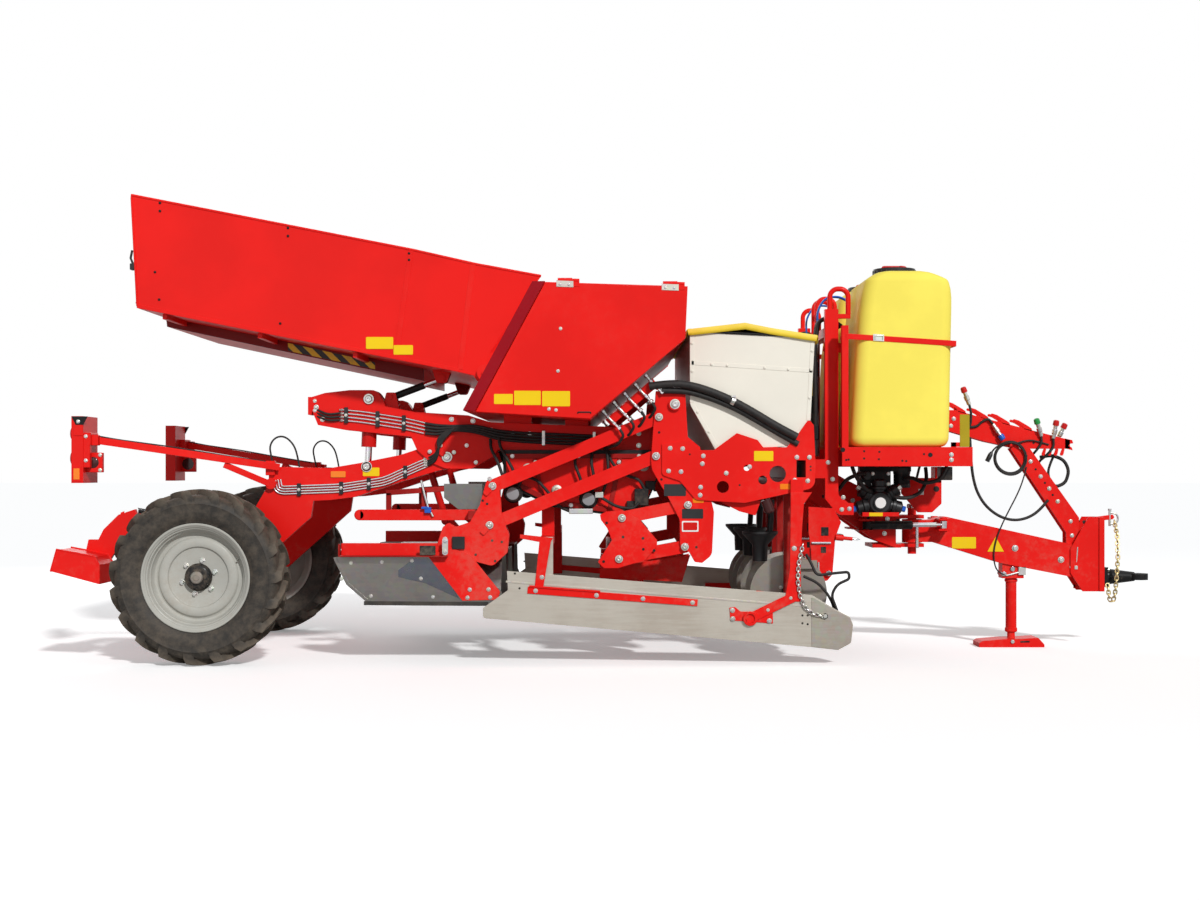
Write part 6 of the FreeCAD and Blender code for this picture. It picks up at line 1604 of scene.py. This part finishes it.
# %% [markdown]
# ## Drawbar, hitch and comb
# The tractor's hoses park on a comb of hooks above the drawbar. Each hook is a flat outline that
# curls back, and each hose ends in a coupler with a coloured cap. At the front, a shackle holds the
# safety chain, which hangs in front of the hitch plate in a long loop.

# %% Comb hooks and teeth
COMB_NEAR, COMB_FAR = -50, -44
# a horn that leans back: a straight shank, then a tip that curls to the rear
HORN = np.array([(0, 0), (58, -16), (52, 6), (30, 22), (-38, 62), (-72, 72), (-82, 64), (-78, 54), (-50, 46),
                 (-14, 24), (-6, 12)])
hooks = [plate(HORN + spot, y, y + 6) for spot in ((2320, 1648), (2480, 1606), (2630, 1566), (2785, 1526))
         for y in (COMB_NEAR, 44)]
piece("comb_hooks", joined(*hooks), "drawbar", red, bevel=1.5)
TOOTH = np.array([(0, 0), (18, -5), (10, -42), (2, -52), (-12, -50), (-16, -40)])
teeth = [plate(TOOTH + (x, 1392), COMB_NEAR, COMB_FAR) for x in (2922, 2965, 3008, 3051)]
piece("comb_teeth", joined(*teeth), "drawbar", red, bevel=1.5)
end_hook = plate([(3070, 1462), (3122, 1450), (3130, 1428), (3108, 1424), (3096, 1410), (3118, 1400), (3126, 1378),
                  (3070, 1392)], COMB_NEAR, COMB_FAR)
piece("comb_end_hook", end_hook, "drawbar", red, bevel=1.5)
tell("comb")

# %% Couplers with their caps
COUPLER = [(1, 0), (15, 0), (15, 30), (19, 34), (19, 62), (14, 66), (14, 94), (1, 94)]
CAP = [(1, 90), (20, 90), (22, 98), (20, 124), (12, 130), (1, 130)]
for letter, place, ahead, finish in (("a", (2395, -62, 1700), (-0.35, -0.05, 0.93), cap_red),
                                     ("b", (2560, -68, 1560), (0.55, -0.1, -0.83), cap_blue),
                                     ("c", (2900, -64, 1478), (-0.30, -0.12, 0.94), cap_green),
                                     ("d", (2985, -64, 1462), (0.15, -0.12, 0.98), cap_red),
                                     ("e", (3035, 20, 1452), (0.42, -0.12, 0.90), cap_red)):
    for label, profile, colour in (("coupler_", COUPLER, bright_zinc), ("coupler_cap_", CAP, finish)):
        piece(label + letter, aimed(lathe(profile, 24, "Z"), place, ahead), "drawbar", colour, smooth=35)
tell("couplers")

# %% Hoses of the comb
tails = [[(2395, -62, 1702), (2410, -63, 1640), (2405, -64, 1560), (2380, -62, 1520)],
         [(2560, -68, 1562), (2530, -68, 1600), (2490, -66, 1585), (2450, -62, 1545), (2400, -60, 1540)],
         [(2900, -64, 1480), (2905, -62, 1430), (2870, -60, 1380), (2840, 0, 1330), (2880, 0, 1240)],
         [(2985, -64, 1464), (2990, -60, 1400), (2935, -58, 1340), (2890, 0, 1290), (2910, 0, 1200)],
         [(3035, 20, 1454), (3030, 10, 1380), (2990, 0, 1310), (2960, 0, 1220), (3000, 0, 1110), (3060, 0, 1000)],
         [(2880, 0, 1240), (2940, 0, 1130), (3020, 0, 1020), (3085, 0, 900)],
         [(2860, 20, 1290), (2920, 20, 1150), (3000, 20, 1030), (3080, 20, 905)],
         [(2380, -30, 1560), (2300, -20, 1600), (2240, 0, 1600), (2180, 0, 1560), (2100, 0, 1400), (2040, 0, 1200),
          (2010, 40, 960)]]
piece("comb_hoses", hoses(tails), "drawbar", hose_rubber, smooth=60)
loop = [[(2905, -10, 1330), (2990, -12, 1345), (3075, -14, 1310), (3110, -14, 1235), (3085, -12, 1150),
         (3020, -10, 1120), (2965, -8, 1150), (2925, -6, 1215)]]
piece("comb_loop", hoses(loop, 12, 12), "drawbar", hose_rubber, smooth=60)
tell("comb hoses")

# %% Bolts and holes of the drawbar
DRAWBAR_Y = -75.3


def flat_discs(spots, y, steps):
    """Flat discs of their own radius at spots of X and Z, a hair over a face at this Y."""
    return joined(*[lathe([(1, -0.8), (r, -0.8), (r, 0.8)], steps, at=(x, y, z)) for x, z, r in spots])


bolts("drawbar_bolts", [(2714, 692), (3036, 612)], DRAWBAR_Y, "drawbar", 17)
bolts("cheek_bolts", [(3120, 640), (3110, 560)], DRAWBAR_Y, "drawbar", 11)
strut = [(2760, 1400), (2830, 1300), (2900, 1195), (2960, 1110), (3020, 1020), (3110, 880), (3120, 780),
         (2290, 1600), (2270, 1550)]
piece("strut_bolts", copies(hexagon(11, 9), on_face(strut, COMB_NEAR)), "drawbar", bright_zinc)
holes = [(2800, 1340, 8), (2865, 1245, 8), (2930, 1150, 8), (2985, 1065, 8), (2350, 1560, 8), (2600, 1480, 8),
         (2850, 1430, 8)]
# black discs: painted shade in the strut's holes
piece("strut_holes", flat_discs(holes, COMB_NEAR - 0.2, 16), "drawbar", black_paint, smooth=0)
eyes = [(3233, 429, 20), (3246, 868, 14), (3198, 876, 12)]
# black discs: painted shade in the hitch's eyes
two("hitch_eyes", flat_discs(eyes, DRAWBAR_Y + 0.1, 24), "drawbar", black_paint, smooth=0)
tell("drawbar bolts and holes")

# %% Hitch plate and shackle
pin = joined(tube([(3140, -80, 560), (3146, -83, 640), (3150, -83, 700)], 6, 10),
             slab((3128, -90, 545), (3150, -75, 570)))
two("hitch_pin", pin, "drawbar", bright_zinc, smooth=40)
bands = joined(slab((3104, -79, 500), (3124, -75, 705)), slab((3165, -79, 400), (3180, -75, 430)))
two("hitch_bands", bands, "drawbar", red, bevel=1)
ear = plate([(3300, 910), (3420, 926), (3432, 908), (3420, 892), (3334, 884), (3300, 884)], -8, 8)
piece("chain_ear", ear, "drawbar", red, bevel=2)
turn = np.linspace(-0.5 * np.pi, 0.5 * np.pi, 14)
bow = [(3400, 0, 860), *[(3428 + 30 * math.cos(a), 0, 900 + 36 * math.sin(a)) for a in turn], (3400, 0, 940)]
shackle = joined(tube(rounded(bow, 10), 7.5, 10), tube([(3400, 0, 845), (3400, 0, 900), (3400, 0, 962)], 9, 12),
                 lathe([(1, 0), (13, 0), (13, 12), (1, 12)], 16, "Z", (3400, 0, 955)))
piece("shackle", shackle, "drawbar", bright_zinc, smooth=60)
hanging = chain([(3434, 0, 872), (3432, -70, 780), (3425, -110, 640), (3412, -118, 480), (3404, -112, 380),
                 (3394, -100, 322), (3380, -96, 322), (3366, -98, 345), (3362, -96, 400), (3360, -84, 430)],
                4.8, 34, 24)
piece("safety_chain", hanging, "drawbar", brass, smooth=60)
collar = lathe([(60, 0), (66, 3), (66, 12), (58, 16), (56, 0), (60, 0)], 48, "X", (3365.2, 0, 489))
piece("coupling_collar", collar, "drawbar", black_paint, smooth=40)
# these bolts are laid out facing -Y and then turned by a quarter, to face forwards
places = [(y, -3365, z) for y in (-62, 62) for z in (437, 541)]
points, faces = copies(hexagon(14, 12), places)
piece("hitch_bolts", (points[:, (1, 0, 2)] * (-1, 1, 1), faces), "drawbar", bright_zinc)
tell("hitch")

# %% [markdown]
# ## Jack and drawbar pins
# The jack is a tube in a tube: the collars and the lock stay with the drawbar, and the foot's pin
# and slot ride on the leg, which slides. Turned profiles do for all of them.

# %% Jack
JACK_X = 2704
turned_pin = lathe([(1, -12), (14, -12), (18, -8), (18, 0)], 24)
two("jack_pins", copies(turned_pin, [(2700, -60.5, 548), (2640, -60.5, 512)]), "drawbar", chrome, smooth=40)
jack_lock = joined(tube([(2655, -66, 500), (2700, -68, 512), (2752, -66, 525)], 7, 10),
                   slab((2740, -75, 505), (2790, -60, 560)))
piece("jack_lock", jack_lock, "drawbar", bright_zinc, smooth=40)
collars = [lathe([(38.5, 0), (rim, 3), (rim, depth - 3), (38.5, depth), (38.5, 0)], 40, "Z", (JACK_X, 0, z))
           for rim, depth, z in ((43, 29, 102), (45, 23, 452))]
piece("jack_collars", joined(*collars), "drawbar", red, smooth=40)
foot_pin = lathe([(1, -10), (12, -10), (15, -6), (15, 0)], 24, at=(2690, -100.2, 40))
piece("jack_foot_pin", foot_pin, "jack_leg", bright_zinc, smooth=40)
piece("jack_foot_slot", ribbon([(2745, 38), (2810, 40)], 12, -100.8, -99.5), "jack_leg", black_paint)
tell("jack")

# %% Drawbar pin and steering hoses
stay = tube([(2002, -210, 700), (2002, -210, 862)], 12, 12)
piece("swivel_pin_stay", stay, "chassis", chrome, smooth=40)
eye = lathe([(1, -1), (20, -1), (20, 1)], 24, at=(2108, -352.2, 1110))
# a black disc: painted shade in the carrier's hole
piece("carrier_eye", eye, "chassis", black_paint, smooth=0)
piece("carrier_notice", slab((1985, -353.5, 1070), (2022, -351.5, 1110)), "chassis", label_white)
pin_head = lathe([(1, 30), (30, 30), (36, 24), (36, 0)], 40, "Z", (2005, 0, 972))
piece("drawbar_pin_head", pin_head, "chassis", chrome, smooth=40)
bolts("front_side_bolts", [(1240, 1250), (1240, 1180), (1420, 1120), (1560, 1030), (1700, 960), (1800, 900),
                           (1780, 800)], -190.3, "chassis", 12)
steer = [[(1640, -330, 905), (1680, -350, 960), (1760, -330, 990), (1820, -260, 1010), (1800, -200, 1060)]]
two("steer_hoses", hoses(steer), "chassis", hose_rubber, smooth=60)
tell("drawbar pin")

# %% [markdown] ## All pieces are made
